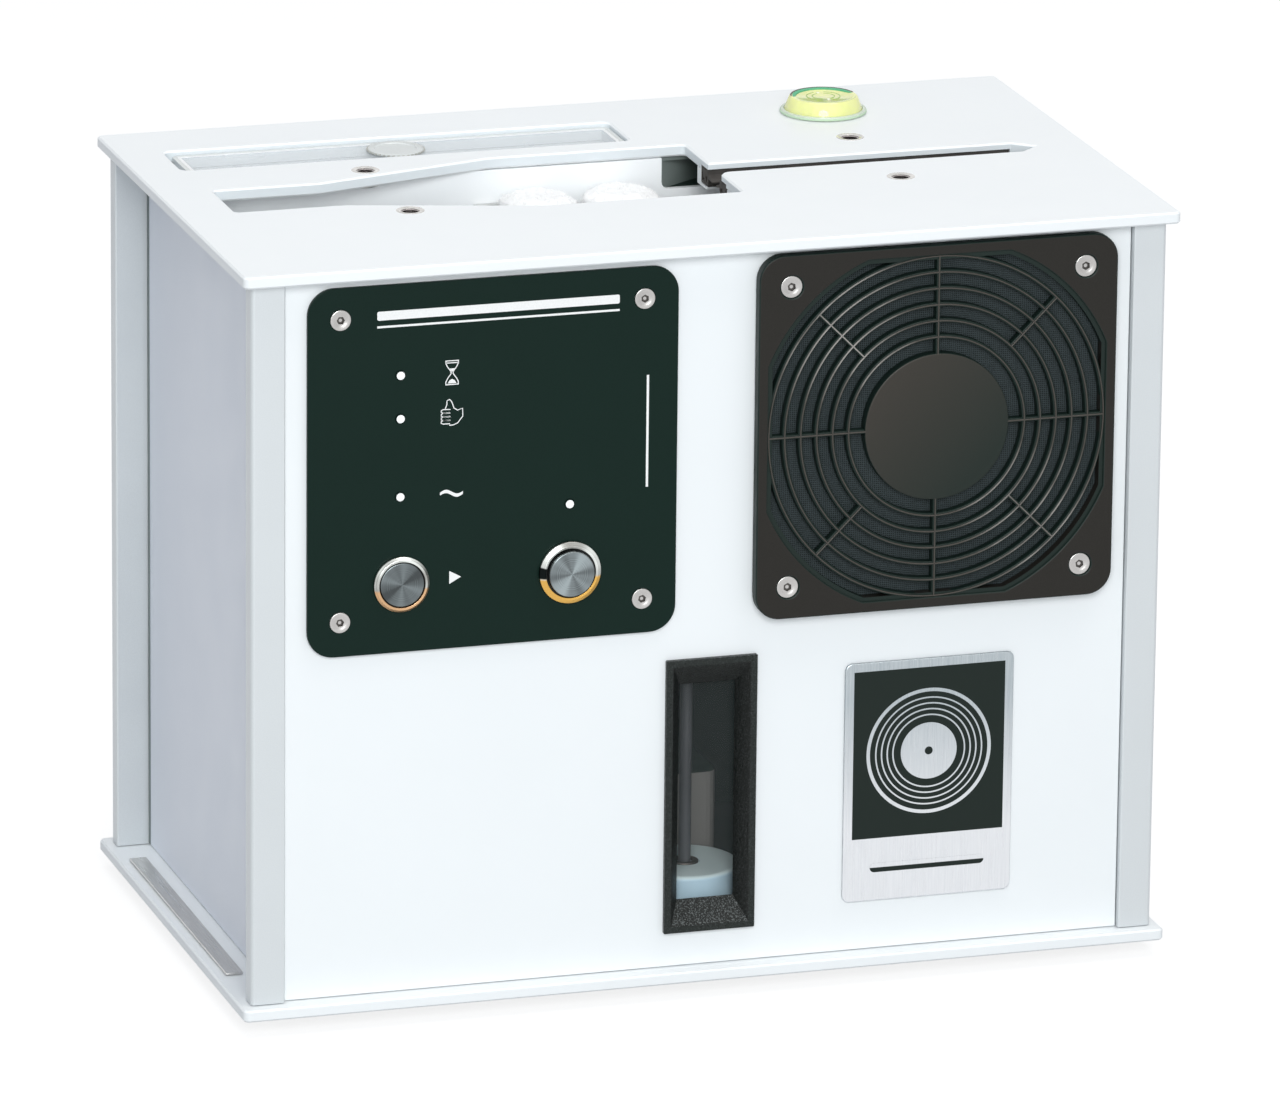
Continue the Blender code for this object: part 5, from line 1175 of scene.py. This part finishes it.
class MACHINE_OT_sight_window(bpy.types.Operator):
    """Window surround, pane, float and stem"""
    bl_idname = "machine.sight_window"
    bl_label = "Sight Window"

    def execute(self, context):
        look = context.scene.record_machine.window
        self.make_surround(look)
        dress("window_pane", "window_pane")
        dress("grey_moulding", "reservoir_tank")
        dress("pump_housing", "pump")
        low, high, middle = extent("level_float")
        centre, radius, top = middle[:2], (high.x - low.x) / 2, high.z
        profile = rounded([(0.0026, low.z, 0.0), (radius, low.z, 0.0012), (radius, top, 0.0014), *raised(
            top, [(5.2, 0, 0), (4.8, -0.5, 0), (2.6, -0.5, 0)])], 5, hold=0.0002)
        make_piece("float_body", lathe(profile, centre, "Z", 96, ring=True), [float_finish(look.float_colour)],
                   ["level_float"], "float")
        washer = rounded(raised(top, [(2.7, -0.4, 0), (4.7, -0.4, 0.2), (4.7, 0.4, 0.3), (2.7, 0.4, 0.2)]), 4)
        make_piece("float_washer", lathe(washer, centre, "Z", 48, ring=True), ["dull_washer"],
                   body="float")
        low, high, _ = extent("float_stem")
        stem = rounded([*raised(low.z, [(0, 0, 0), (5, 0, 0), (5, 1, 0.3), (2.1, 1, 0)]),
                        *raised(high.z, [(2.1, 0, 0), (0, 0, 0)])], 3)
        make_piece("float_guide", lathe(stem, centre, "Z", 40), ["stem_plastic"], ["float_stem"])
        return {"FINISHED"}

    def make_surround(self, look):
        """Rings of corners from the seat over the rim and down the slanted sides to the mouth."""
        low, high, (x, _, z) = extent("window_bezel")
        edge, rim, front, back, seat = look.edge, look.border, low.y, high.y, -0.0886
        hold = edge * 0.3
        mouth = (0.00595, 0.0099)
        rows = [
            (0, 0, seat, 0.0003), (0, 0, front + edge + hold, 0.0003), (0, 0, front + edge, 0.0003),
            (hold, hold, front + hold, 0.0003), (edge, edge, front, 0.0002),
            (edge + hold, edge + hold, front, 0.0002), (rim - hold * 2, rim - hold * 2, front, 0.0003),
            (rim, rim, front + 0.00008, 0.0002), (rim + 0.00018, rim + 0.00028, front + 0.0003, 0.0002),
            (*mouth, back - 0.0002, 0.0002), (*mouth, back, 0.0002), (0.0016, 0.0016, back, 0.0002),
            (0.0016, 0.0016, seat, 0.0002)]
        mesh = bmesh.new()
        rings = []
        for inset_x, inset_z, level, radius in rows:
            outline = centred(x, z, high.x - low.x - 2 * inset_x, high.z - low.z - 2 * inset_z, radius, 3)
            rings.append([mesh.verts.new((px, level, pz)) for px, pz in outline])
        bridge(mesh, rings, closed=True)
        make_piece("window_surround", outward(mesh), [coarse_plastic_finish(look.bezel_colour)],
                   ["window_bezel"], crease=30)


# ---------------------------------------------------------------- slot, bath and rollers

# Section (y, z, radius) of a wiper, and the chamber in it.
WIPER = mm([(14.0, 250.6, 0.15), (14.0, 256.5, 0.15), (10.4, 256.5, 0.15), (10.2, 255.7, 0.2), (9.4, 255.7, 0.2),
            (9.2, 256.5, 0.15), (6.1, 256.5, 0.2), (6.1, 254.8, 0.4), (2.3, 253.4, 0.2), (2.3, 252.8, 0.15),
            (6.1, 253.5, 0.3), (6.5, 250.6, 0.15)])
CHAMBER = mm([(12.3, 251.4), (13.2, 251.4), (13.2, 254.2), (12.6, 254.2), (12.0, 252.6), (10.6, 252.6),
              (10.6, 251.4), (11.2, 251.4), (11.2, 251.9), (12.3, 251.9)])
# Section (radius, z) of an insert: its rolled flange, then the thread of its bore.
INSERT = mm([(3.1, 258.8), (3.25, 259.0), (3.6, 259.05), (4.0, 259.2), (4.5, 259.2), (4.7, 259.1), (4.75, 259.01),
             (3.9, 259.01), (3.9, 254.99), (4.7, 254.99), (4.7, 254.3), (4.4, 253.9), (3.1, 253.9)])
THREAD = mm([(radius, 254.1 + turn * 0.8 + rise) for turn in range(6)
             for radius, rise in ((3.1, 0), (2.72, 0.2), (2.72, 0.35), (3.1, 0.55))])


class MACHINE_OT_record_slot(bpy.types.Operator):
    """Bath, wiper profiles, ducts and threaded inserts"""
    bl_idname = "machine.record_slot"
    bl_label = "Record Slot"

    def execute(self, context):
        dress("moulded_white", "wash_basin", "filter_housing")
        for name, end in (("front", -1), ("rear", 1)):
            self.make_duct(name, end)
        dress("plain_steel", "level_probe")
        for name, side in (("wiper_front", -1), ("wiper_rear", 1)):
            low, high, _ = extent(name)
            holes = [mirrored(side, CHAMBER), circle(side * 0.0085, 0.2528, 0.0011, 20)]
            solid = slab(rounded(mirrored(side, WIPER), 4), holes, low.x, high.x, "X", 0.00012, 2)
            make_piece(f"{name}_profile", solid, ["black_rubber"], [name])
        inserts = []
        for x, y in INSERTS:
            solid = lathe(INSERT + THREAD, (x, y), "Z", 48, ring=True)

            def is_bore(face):
                spot = face.calc_center_median()
                return int(math.hypot(spot.x - x, spot.y - y) < 0.00315)

            inserts.append((shade_faces(solid, is_bore), None))
        make_piece("threaded_inserts", joined(inserts), ["insert_steel", "insert_bore"], crease=30)
        return {"FINISHED"}

    def make_duct(self, name, end):
        """A box open to the fan and to the bath, with a slanted wall and a ledge behind the mouth."""
        low, high, _ = extent(f"air_duct_{name}")
        wall, near, far = 0.0015, 0.0343 * end, 0.0597 * end
        rim = near + end * 0.0006
        box = rectangle(low.x, high.x, low.z, high.z)
        inner = rectangle(low.x + wall, high.x - wall, low.z + wall, high.z - wall)
        mouth = rectangle(0.0212, 0.1318, 0.2436, 0.2532, 0.0008, 4)
        solids = [(slab(box, [inner], min(rim, far), max(rim, far), "Y"), 0),
                  (slab(box, [mouth], min(near, rim), max(near, rim), "Y"), 0)]
        back = mm([(18.8, 35.0), (21.2, 35.0), (54.5, 57.5), (54.5, 59.0)])
        # The ledge inside the duct is coloured as painted shade.
        ledge = mm([(18.6, 35.0), (70.0, 35.0), (70.0, 59.5), (54.0, 59.5)])
        for outline, bottom, top, shade in ((back, 0.2432, 0.2533, 0), (ledge, 0.2426, 0.2434, 1)):
            solids.append((slab([(x, end * y) for x, y in outline], [], bottom, top, "Z"), shade))
        make_piece(f"duct_{name}_funnel", joined(solids), ["duct_plastic", "painted_shade_ledge"],
                   [f"air_duct_{name}"])


def soft_sleeve(low, high, swell, seed):
    """A fleece sleeve that closes over its core in a soft dome, its skin lumpy."""
    centre = Vector(((low.x + high.x) / 2, (low.y + high.y) / 2, 0))
    radius = (high.x - low.x) / 2 - swell * 0.5
    bore, pin, foot, roof, crown = 0.0074, 0.0002, low.z + 0.0004, high.z - 0.00135, high.z - 0.0008
    profile = rounded([
        (bore, foot, 0.001), (radius, foot, 0.0025), (radius, crown - 0.0024, 0.0022),
        (0.0084, crown, 0.0026), (pin, crown + 0.0002, 0.0), (pin, roof, 0.0), (bore, roof, 0.0)], 9)
    rows = []
    for (r, z), (next_r, next_z) in zip(profile, profile[1:] + profile[:1]):
        run = max(1, int(math.dist((r, z), (next_r, next_z)) / 0.0012))
        rows += [(r + (next_r - r) * step / run, z + (next_z - z) * step / run) for step in range(run)]
    mesh = bmesh.new()
    rings = []
    for r, z in rows:
        soft = 1.0 if z > roof + 0.0004 else min(1.0, max(0.0, (r - bore) / 0.0018))
        upward = Vector((0, 0, 0.4 if z > high.z - 0.006 else 0.0))
        ring = []
        for x, y in circle(0, 0, 1.0, 84):
            out = Vector((x, y, 0))
            point = centre + out * r + Vector((0, 0, z))
            lumps = noise.fractal(point * 330 + Vector((seed, 0, 0)), 1.0, 2.0, 3)
            push = out * min(1.0, r / 0.005) + upward
            ring.append(mesh.verts.new(point + push * lumps * swell * soft))
        rings.append(ring)
    bridge(mesh, rings, closed=True)
    return outward(mesh)


def tuft_object():
    """One curled fibre of unit length, with a few faces."""
    mesh = bmesh.new()
    rings = []
    for share, width in ((0.0, 0.11), (0.45, 0.09), (0.8, 0.06)):
        bend = Vector((0.35 * share * share, 0.12 * math.sin(3 * share), share * 0.9))
        rings.append([mesh.verts.new(bend + Vector((x, y, 0))) for x, y in circle(0, 0, width, 3)])
    tip = mesh.verts.new((0.38, 0.05, 1.0))
    bridge(mesh, [*rings, [tip] * 3])
    mesh.faces.new(rings[0][::-1])
    return bpy.data.objects.new("tuft", plain_mesh("tuft", outward(mesh)))


class MACHINE_OT_roller_sleeves(bpy.types.Operator):
    """Four fleece sleeves on their spindles"""
    bl_idname = "machine.roller_sleeves"
    bl_label = "Roller Sleeves"

    def execute(self, context):
        look = context.scene.record_machine.sleeve
        tree, tuft = tuft_tree(), tuft_object()
        for index, name in enumerate(("front_left", "front_right", "rear_left", "rear_right")):
            low, high, _ = extent(f"roller_sleeve_{name}")
            skin = plain_mesh("skin", soft_sleeve(low, high, look.swell, 11.0 * index))
            skin.shade_smooth()
            grown = tree.run(skin, tuft=tuft, density=look.tuft_density, length=look.tuft_length,
                             seed=look.seed + index, material=finish("microfibre_fleece"))
            piece = make_piece(f"sleeve_{name}", grown, [], [f"roller_sleeve_{name}"],
                               f"roller_{name}", crease=0)
            dress("plain_steel", f"roller_spindle_{name}")
        bpy.data.objects.remove(tuft)
        return {"FINISHED"}


# ---------------------------------------------------------------- filter compartment

class MACHINE_OT_filter_compartment(bpy.types.Operator):
    """Clear cover with its knob, and the foam block below it"""
    bl_idname = "machine.filter_compartment"
    bl_label = "Filter Compartment"

    def execute(self, context):
        look = context.scene.record_machine.filter
        low, high, middle = extent("filter_cover")
        top, seam = 0.2574, 0.00002

        def inset(by, radius):
            return rectangle(low.x + by, high.x - by, low.y + by, high.y - by, radius, 8)

        inside, field = inset(0.0016, 0.0012), inset(0.0027, 0.0008)
        place = (middle[0] - 0.00175, middle[1])
        knob = rounded([*raised(top, [(0, 0.02, 0), (9.0, 0.02, 0), (9.4, 0.3, 0)]),
                        *raised(high.z, [(9.4, 0, 0.3), (7.2, 0, 0), (6.8, -0.4, 0), (0, -0.4, 0)])], 4)
        rib = bpy.data.objects.new("rib", plain_mesh("rib", block(
            (-0.0003, -0.0004, 0.0), (0.0006, 0.0004, high.z - top - 0.0004), 0.0001)))
        ribs = bead_tree().run(point_mesh([(0, 0, 0)]), rib=rib, count=look.ribs, radius=0.0093,
                               place=(*place, top + 0.0002), material=finish("frosted_knob"))
        bpy.data.objects.remove(rib)
        # The band between rim and field is a painted edge highlight.
        cover = joined([
            (lathe(knob, place, "Z", 72), 2),
            (slab(inset(0.0, 0.0025), [inside], low.z, top, "Z", 0.0002, 2), 1),
            (slab(shifted(inside, seam), [field], low.z, top - 0.0001, "Z"), 3),
            (slab(shifted(field, seam), [], low.z, top - 0.0002, "Z"), 0), (ribs, 4)])
        make_piece("clear_cover", cover, ["clear_cover", "clear_cover_edge", "frosted_knob", "clear_cover_highlight_band",
                                          "knob_grip"], ["filter_cover"], "cover", crease=35)
        low, high, _ = extent("filter_cartridge")
        foam = slab(rectangle(low.x, high.x, low.y, high.y, 0.002, 4), [], low.z, high.z, "Z", 0.0012, 4)
        foam = make_piece("foam_block", foam, [foam_finish(look.foam_colour)], ["filter_cartridge"])
        return {"FINISHED"}


# ---------------------------------------------------------------- bubble level

def arc_band(centre, inner, outer, low, high, start, end, taper=0.0):
    """A thin flat band along part of a circle; taper narrows its inner edge towards both ends."""
    near, far = [], []
    for step in range(41):
        share = step / 40
        angle = math.radians(start + (end - start) * share)
        width = (outer - inner) * (1 - taper * abs(2 * share - 1) ** 3)
        for row, radius in ((far, outer), (near, outer - width)):
            row.append((centre[0] + radius * math.cos(angle), centre[1] + radius * math.sin(angle)))
    return slab(far + near[::-1], [], low, high, "Z")


class MACHINE_OT_bubble_level(bpy.types.Operator):
    """Round level with its clear flange, fluid and marks"""
    bl_idname = "machine.bubble_level"
    bl_label = "Bubble Level"

    def execute(self, context):
        low, high, middle = extent("bubble_level")
        centre, base, top = middle[:2], low.z, high.z
        deck = top - 0.0003
        skirt = rounded([
            *raised(base, [(0, 0.1, 0), (13.4, 0.1, 0), (13.4, 1.0, 0)]),
            *raised(top, [(11.75, -0.4, 0), (11.3, 0, 0.3), (9.8, 0, 0), (9.3, -0.3, 0), (0, -0.3, 0)])], 4)
        solids = [(lathe(skirt, centre, "Z", 96), 0)]
        bands = [(radius - 0.00012, radius + 0.00012, deck - 0.0001, deck + 0.00006, start, start + 144, 0.0, 1)
                 for radius in (0.0057, 0.0038) for start in (108, 288)]
        bands += [(0.0106, 0.0113, top - 0.0001, top + 0.00012, 8, 172, 0.5, 2),
                  (0.0088, 0.0106, top - 0.0004, top + 0.00006, 4, 176, 0.55, 3),
                  (0.0089, 0.0093, deck - 0.0001, deck + 0.00005, 208, 318, 0.8, 4),
                  (0.0100, 0.0108, top - 0.0001, top + 0.00004, 200, 340, 0.7, 5)]
        solids += [(arc_band(centre, *band), shade) for *band, shade in bands]
        for x, y, size in ((-0.0004, 0.0047, 0.0005), (0.0004, -0.0047, 0.0006)):
            spot = circle(centre[0] + x, centre[1] + y, size, 16)
            solids.append((slab(spot, [], deck - 0.0001, deck + 0.00007, "Z"), 4))
        flange = rounded(raised(base, [(13.5, 0.05, 0), (14.6, 0.05, 0), (14.6, 1.1, 0.3), (13.5, 1.2, 0)]), 3)
        edge = raised(base, [(14.61, 0.1), (14.8, 0.1), (14.8, 0.5), (14.61, 0.7)])
        solids += [(lathe(flange, centre, "Z", 96, ring=True), 6), (lathe(edge, centre, "Z", 96, ring=True), 7)]
        make_piece("level_vial", joined(solids), [
            "level_fluid", "level_marks", "level_rim", "level_rim_shade", "level_glint", "level_sheen",
            "level_flange", "level_flange_edge"], ["bubble_level"], crease=35)
        return {"FINISHED"}


# ---------------------------------------------------------------- name plate, strip and inner parts

# Outer and inner radii of the grooves and the label of the disc motif.
DISC = mm([(21.8, 20.6), (18.8, 18.3), (16.8, 16.3), (14.8, 14.3), (12.8, 12.3), (9.8, 1.4)])


class MACHINE_OT_trim(bpy.types.Operator):
    """Brushed plate with a plain disc motif, and the bare strip on the base"""
    bl_idname = "machine.trim"
    bl_label = "Trim"

    def execute(self, context):
        look = context.scene.record_machine.trim
        low, high, _ = extent("name_plate")
        brushed = brushed_steel_finish("upright_brushed_steel", look.plate_colour, (3800, 3800, 90),
                                       (low.z + 0.024, high.z - 0.012, (0.37, 0.42, 0.45)))
        plate = slab(rectangle(low.x, high.x, low.z, high.z, 0.0025, 8), [], low.y, high.y, "Y", 0.0005, 4)
        make_piece("front_badge", plate, [brushed], ["name_plate"])
        face = low.y
        left, right, top = low.x + look.border, high.x - look.border, high.z - look.border
        foot = top - (high.z - low.z) * look.field_share
        x, z = (left + right) / 2, (foot + top) / 2
        fields = [rectangle(left, right, foot, top),
                  centred(x, (low.z + foot) / 2 + 0.0006, 0.040, 0.0032, 0.0016)]
        solids = [(slab(field, [], face - 0.00005, face + 0.0002, "Y"), 0) for field in fields]
        solids += [(slab(circle(x, z, outer, 96), [circle(x, z, inner, 96)], face - 0.00009, face, "Y"), 1)
                   for outer, inner in DISC]
        make_piece("badge_motif", joined(solids), ["dark_field", brushed], crease=30)
        low, high, _ = extent("base_strip")
        along = brushed_steel_finish("lengthwise_brushed_steel", (0.60, 0.59, 0.58), (3800, 60, 3800))
        strip = slab(rectangle(low.x, high.x, low.y, high.y, 0.0003, 3), [], low.z, high.z, "Z", 0.0002, 3)
        make_piece("edge_strip", strip, [along], ["base_strip"])
        return {"FINISHED"}


class MACHINE_OT_inner_parts(bpy.types.Operator):
    """Rear fittings and the parts inside the housing"""
    bl_idname = "machine.inner_parts"
    bl_label = "Inner Parts"

    def execute(self, context):
        dress("smooth_black_plastic", "power_inlet", "drain_plug", "front_fan_frame", "rear_fan_frame",
              "front_fan_rotor", "rear_fan_rotor")
        dress("plain_steel", "chassis_deck", "drive_motor")
        dress("satin_anodised", "ultrasonic_transducer")
        dress("natural_nylon", "drive_gear")
        dress("circuit_board", "control_board")
        x, z = INLET
        tip, root = 0.0847, 0.0746
        pins = [(slab(centred(x + step * 0.007, z, 0.0022, 0.0042, 0.0003, 3), [], root, tip, "Y", 0.0002, 2), 0)
                for step in (-1, 0, 1)]
        make_piece("inlet_pins", joined(pins), ["plain_steel"], crease=35)
        return {"FINISHED"}


def screw_object(radius, height, socket, depth):
    """A low head with a hexagon socket, facing up, with its face at the origin."""
    mesh = bmesh.new()

    def ring(size, level, hexagon=False):
        """A round or six-sided ring of corners."""
        row = []
        for step in range(48):
            angle = math.tau * step / 48
            reach = size / math.cos((angle % (math.pi / 3)) - math.pi / 6) if hexagon else size
            row.append(mesh.verts.new((reach * math.cos(angle), reach * math.sin(angle), level)))
        return row

    rows = [ring(radius * share, level) for share, level in (
        (0.9, -height), (1, -0.105 * radius), (1, -0.06 * radius), (0.985, -0.02 * radius), (0.95, 0.0),
        (0.93, 0.0), (0.62, 0.0), (0.60, -0.012 * radius))]
    rows += [ring(socket * 1.10, -0.03 * radius, True), ring(socket, -0.10 * radius, True),
             ring(socket * 0.99, -depth, True), ring(socket * 0.5, -depth)]
    bridge(mesh, rows[:-2])
    for face in bridge(mesh, rows[-3:]):
        face.material_index = 1
    mesh.faces.new(rows[-1])
    mesh.faces.new(rows[0][::-1])
    data = plain_mesh("screw", outward(mesh))
    for name in ("bright_screw_steel", "socket_shade"):
        data.materials.append(finish(name))
    return bpy.data.objects.new("screw", data)


class MACHINE_OT_fasteners(bpy.types.Operator):
    """Screw heads on the control plate, guards, inlet and base"""
    bl_idname = "machine.fasteners"
    bl_label = "Fasteners"

    def execute(self, context):
        look = context.scene.record_machine
        control_face, guard_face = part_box("control_plate")[0].y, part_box("front_fan_guard")[0].y
        rear_guard_face, sunk = 0.0938, 0.00045
        rows = [((x, control_face - 0.0003, z), (0, -1, 0), look.control.screw_radius) for x, z in CONTROL_SCREWS]
        for x, z in GUARD_SCREWS:
            rows += [((x, guard_face + sunk, z), (0, -1, 0), look.guard.screw_radius),
                     ((x, rear_guard_face - sunk, z), (0, 1, 0), look.guard.screw_radius)]
        rows += [((x, 0.0919, INLET[1]), (0, 1, 0), 0.0026) for x in (-0.120, -0.080)]
        rows += [((x, y, 0.0059), (0, 0, -1), 0.0030) for x in (-0.1512, 0.1512) for y in (-0.0868, 0.0868)]
        places, facing, sizes = zip(*rows)
        screw = screw_object(SCREW_RADIUS, 0.0013, 0.00125, 0.0007)
        points = point_mesh(places, facing=facing, size=[size / SCREW_RADIUS for size in sizes])
        mesh = screw_tree().run(points, screw=screw, seed=5)
        bpy.data.objects.remove(screw)
        make_piece("screw_heads", mesh, [], crease=35)
        return {"FINISHED"}


# ---------------------------------------------------------------- stage

def tree_of(owner):
    """The node tree of a material or world, ready for more nodes."""
    owner.use_nodes = True
    made = Tree()
    made.tree = owner.node_tree
    return made


def backdrop_share(made):
    """One where a ray comes from the camera, a mirror or clear plastic."""
    rays = made.node("ShaderNodeLightPath").outputs
    seen = made.math("MAXIMUM", rays["Is Camera Ray"], rays["Is Glossy Ray"])
    return made.math("MAXIMUM", seen, rays["Is Transmission Ray"])


class MACHINE_OT_stage(bpy.types.Operator):
    """Pale floor, soft lamps and the camera"""
    bl_idname = "machine.stage"
    bl_label = "Stage"

    def execute(self, context):
        look = context.scene.record_machine.stage
        self.make_floor()
        self.make_surround(look)
        for name, place, power, size, colour in (
                ("front_lamp", (-0.68, -2.65, 1.35), look.front_power, 1.6, (0.975, 1.0, 1.0)),
                ("left_lamp", (-0.5, 0.2, 2.6), look.left_power, 1.2, (1.0, 0.985, 0.965)),
                ("right_lamp", (0.6, -0.45, 2.5), look.right_power, 1.2, (1.0, 0.965, 0.91))):
            light = bpy.data.lights.new(name, "AREA")
            light.shape, light.size, light.energy, light.color = "DISK", size, power, colour
            lamp = new_object(name, light)
            lamp.location = place
            lamp.rotation_euler = (Vector((0, 0, 0.13)) - Vector(place)).to_track_quat("-Z", "Y").to_euler()
        self.make_camera(look)
        return {"FINISHED"}

    def make_floor(self):
        mesh = bmesh.new()
        mesh.faces.new([mesh.verts.new((x, y, 0.0)) for x, y in circle(0, 0, 6.0, 96)])
        material = bpy.data.materials.new("pale_floor")
        made = tree_of(material)
        shader = made.tree.nodes["Principled BSDF"]
        for socket, value in (("Base Color", (0.50, 0.51, 0.52, 1)), ("Roughness", 0.9),
                              ("Specular IOR Level", 0.0)):
            shader.inputs[socket].default_value = value
        both = made.first("ShaderNodeAddShader", {
            0: made.first("ShaderNodeBsdfDiffuse", {"Color": (0.30, 0.30, 0.30, 1)}),
            1: made.first("ShaderNodeEmission", {"Color": (0.80, 0.80, 0.80, 1)})})
        mix = made.first("ShaderNodeMixShader", {"Fac": backdrop_share(made), 1: shader.outputs[0], 2: both})
        made.tree.links.new(mix, made.tree.nodes["Material Output"].inputs["Surface"])
        data = plain_mesh("floor", mesh)
        data.materials.append(material)
        new_object("floor", data)

    def make_surround(self, look):
        world = bpy.data.worlds.new("studio")
        bpy.context.scene.world = world
        made = tree_of(world)
        share = backdrop_share(made)
        level = made.first("ShaderNodeMapRange", {"Value": share, "To Min": look.sky, "To Max": 1.0})
        tint = made.node("ShaderNodeMix", {"Factor": share, 6: (0.95, 1.0, 1.09, 1), 7: (1, 1, 1, 1)},
                         data_type="RGBA").outputs[2]
        for socket, output in (("Strength", level), ("Color", tint)):
            made.tree.links.new(output, made.tree.nodes["Background"].inputs[socket])

    def make_camera(self, look):
        """The camera that took the photograph, solved from the machine's edges."""
        turn, rise, roll = math.radians(-17.376), math.radians(16.648), math.radians(0.602)
        back = Vector((math.sin(turn) * math.cos(rise), -math.cos(turn) * math.cos(rise), math.sin(rise)))
        right = Vector((math.cos(turn), math.sin(turn), 0))
        up = back.cross(right)
        across = right * math.cos(roll) + up * math.sin(roll)
        upward = up * math.cos(roll) - right * math.sin(roll)
        data = bpy.data.cameras.new("camera")
        data.lens, data.sensor_width, data.clip_start, data.clip_end = look.lens, 36.0, 0.1, 30.0
        camera = new_object("camera", data)
        axes = Matrix((across, upward, back)).transposed().to_4x4()
        camera.matrix_world = Matrix.Translation(Vector((0.00378, 0.0, 0.12821)) + back * 3.7232) @ axes
        bpy.context.scene.camera = camera
        bpy.context.scene.view_settings.view_transform = "Standard"


# ---------------------------------------------------------------- panel and registration

operators = (
    MACHINE_OT_housing, MACHINE_OT_control_plate, MACHINE_OT_push_buttons, MACHINE_OT_fan_guards,
    MACHINE_OT_sight_window, MACHINE_OT_record_slot, MACHINE_OT_roller_sleeves,
    MACHINE_OT_filter_compartment, MACHINE_OT_bubble_level, MACHINE_OT_trim, MACHINE_OT_inner_parts,
    MACHINE_OT_fasteners, MACHINE_OT_stage,
)


class MACHINE_PT_panel(bpy.types.Panel):
    """Lists the pieces and their sizes"""
    bl_idname = "MACHINE_PT_panel"
    bl_label = "Record Machine"
    bl_space_type = "VIEW_3D"
    bl_region_type = "UI"
    bl_category = "Record Machine"

    def draw(self, context):
        for operator in operators:
            self.layout.operator(operator.bl_idname)
        look = context.scene.record_machine
        for name in MachineLook.__annotations__:
            part = self.layout.box()
            part.label(text=name.title())
            group = getattr(look, name)
            for key in group.bl_rna.properties.keys():
                if key not in ("rna_type", "name"):
                    part.prop(group, key)


def register():
    for kind in (*groups, MachineLook, *operators, MACHINE_PT_panel):
        bpy.utils.register_class(kind)
    bpy.types.Scene.record_machine = PointerProperty(type=MachineLook)


def unregister():
    del bpy.types.Scene.record_machine
    for kind in (MACHINE_PT_panel, *operators, MachineLook, *groups):
        bpy.utils.unregister_class(kind)


def main():
    register()
    for operator in operators:
        area, name = operator.bl_idname.split(".")
        getattr(getattr(bpy.ops, area), name)()


if __name__ == "__main__":
    main()
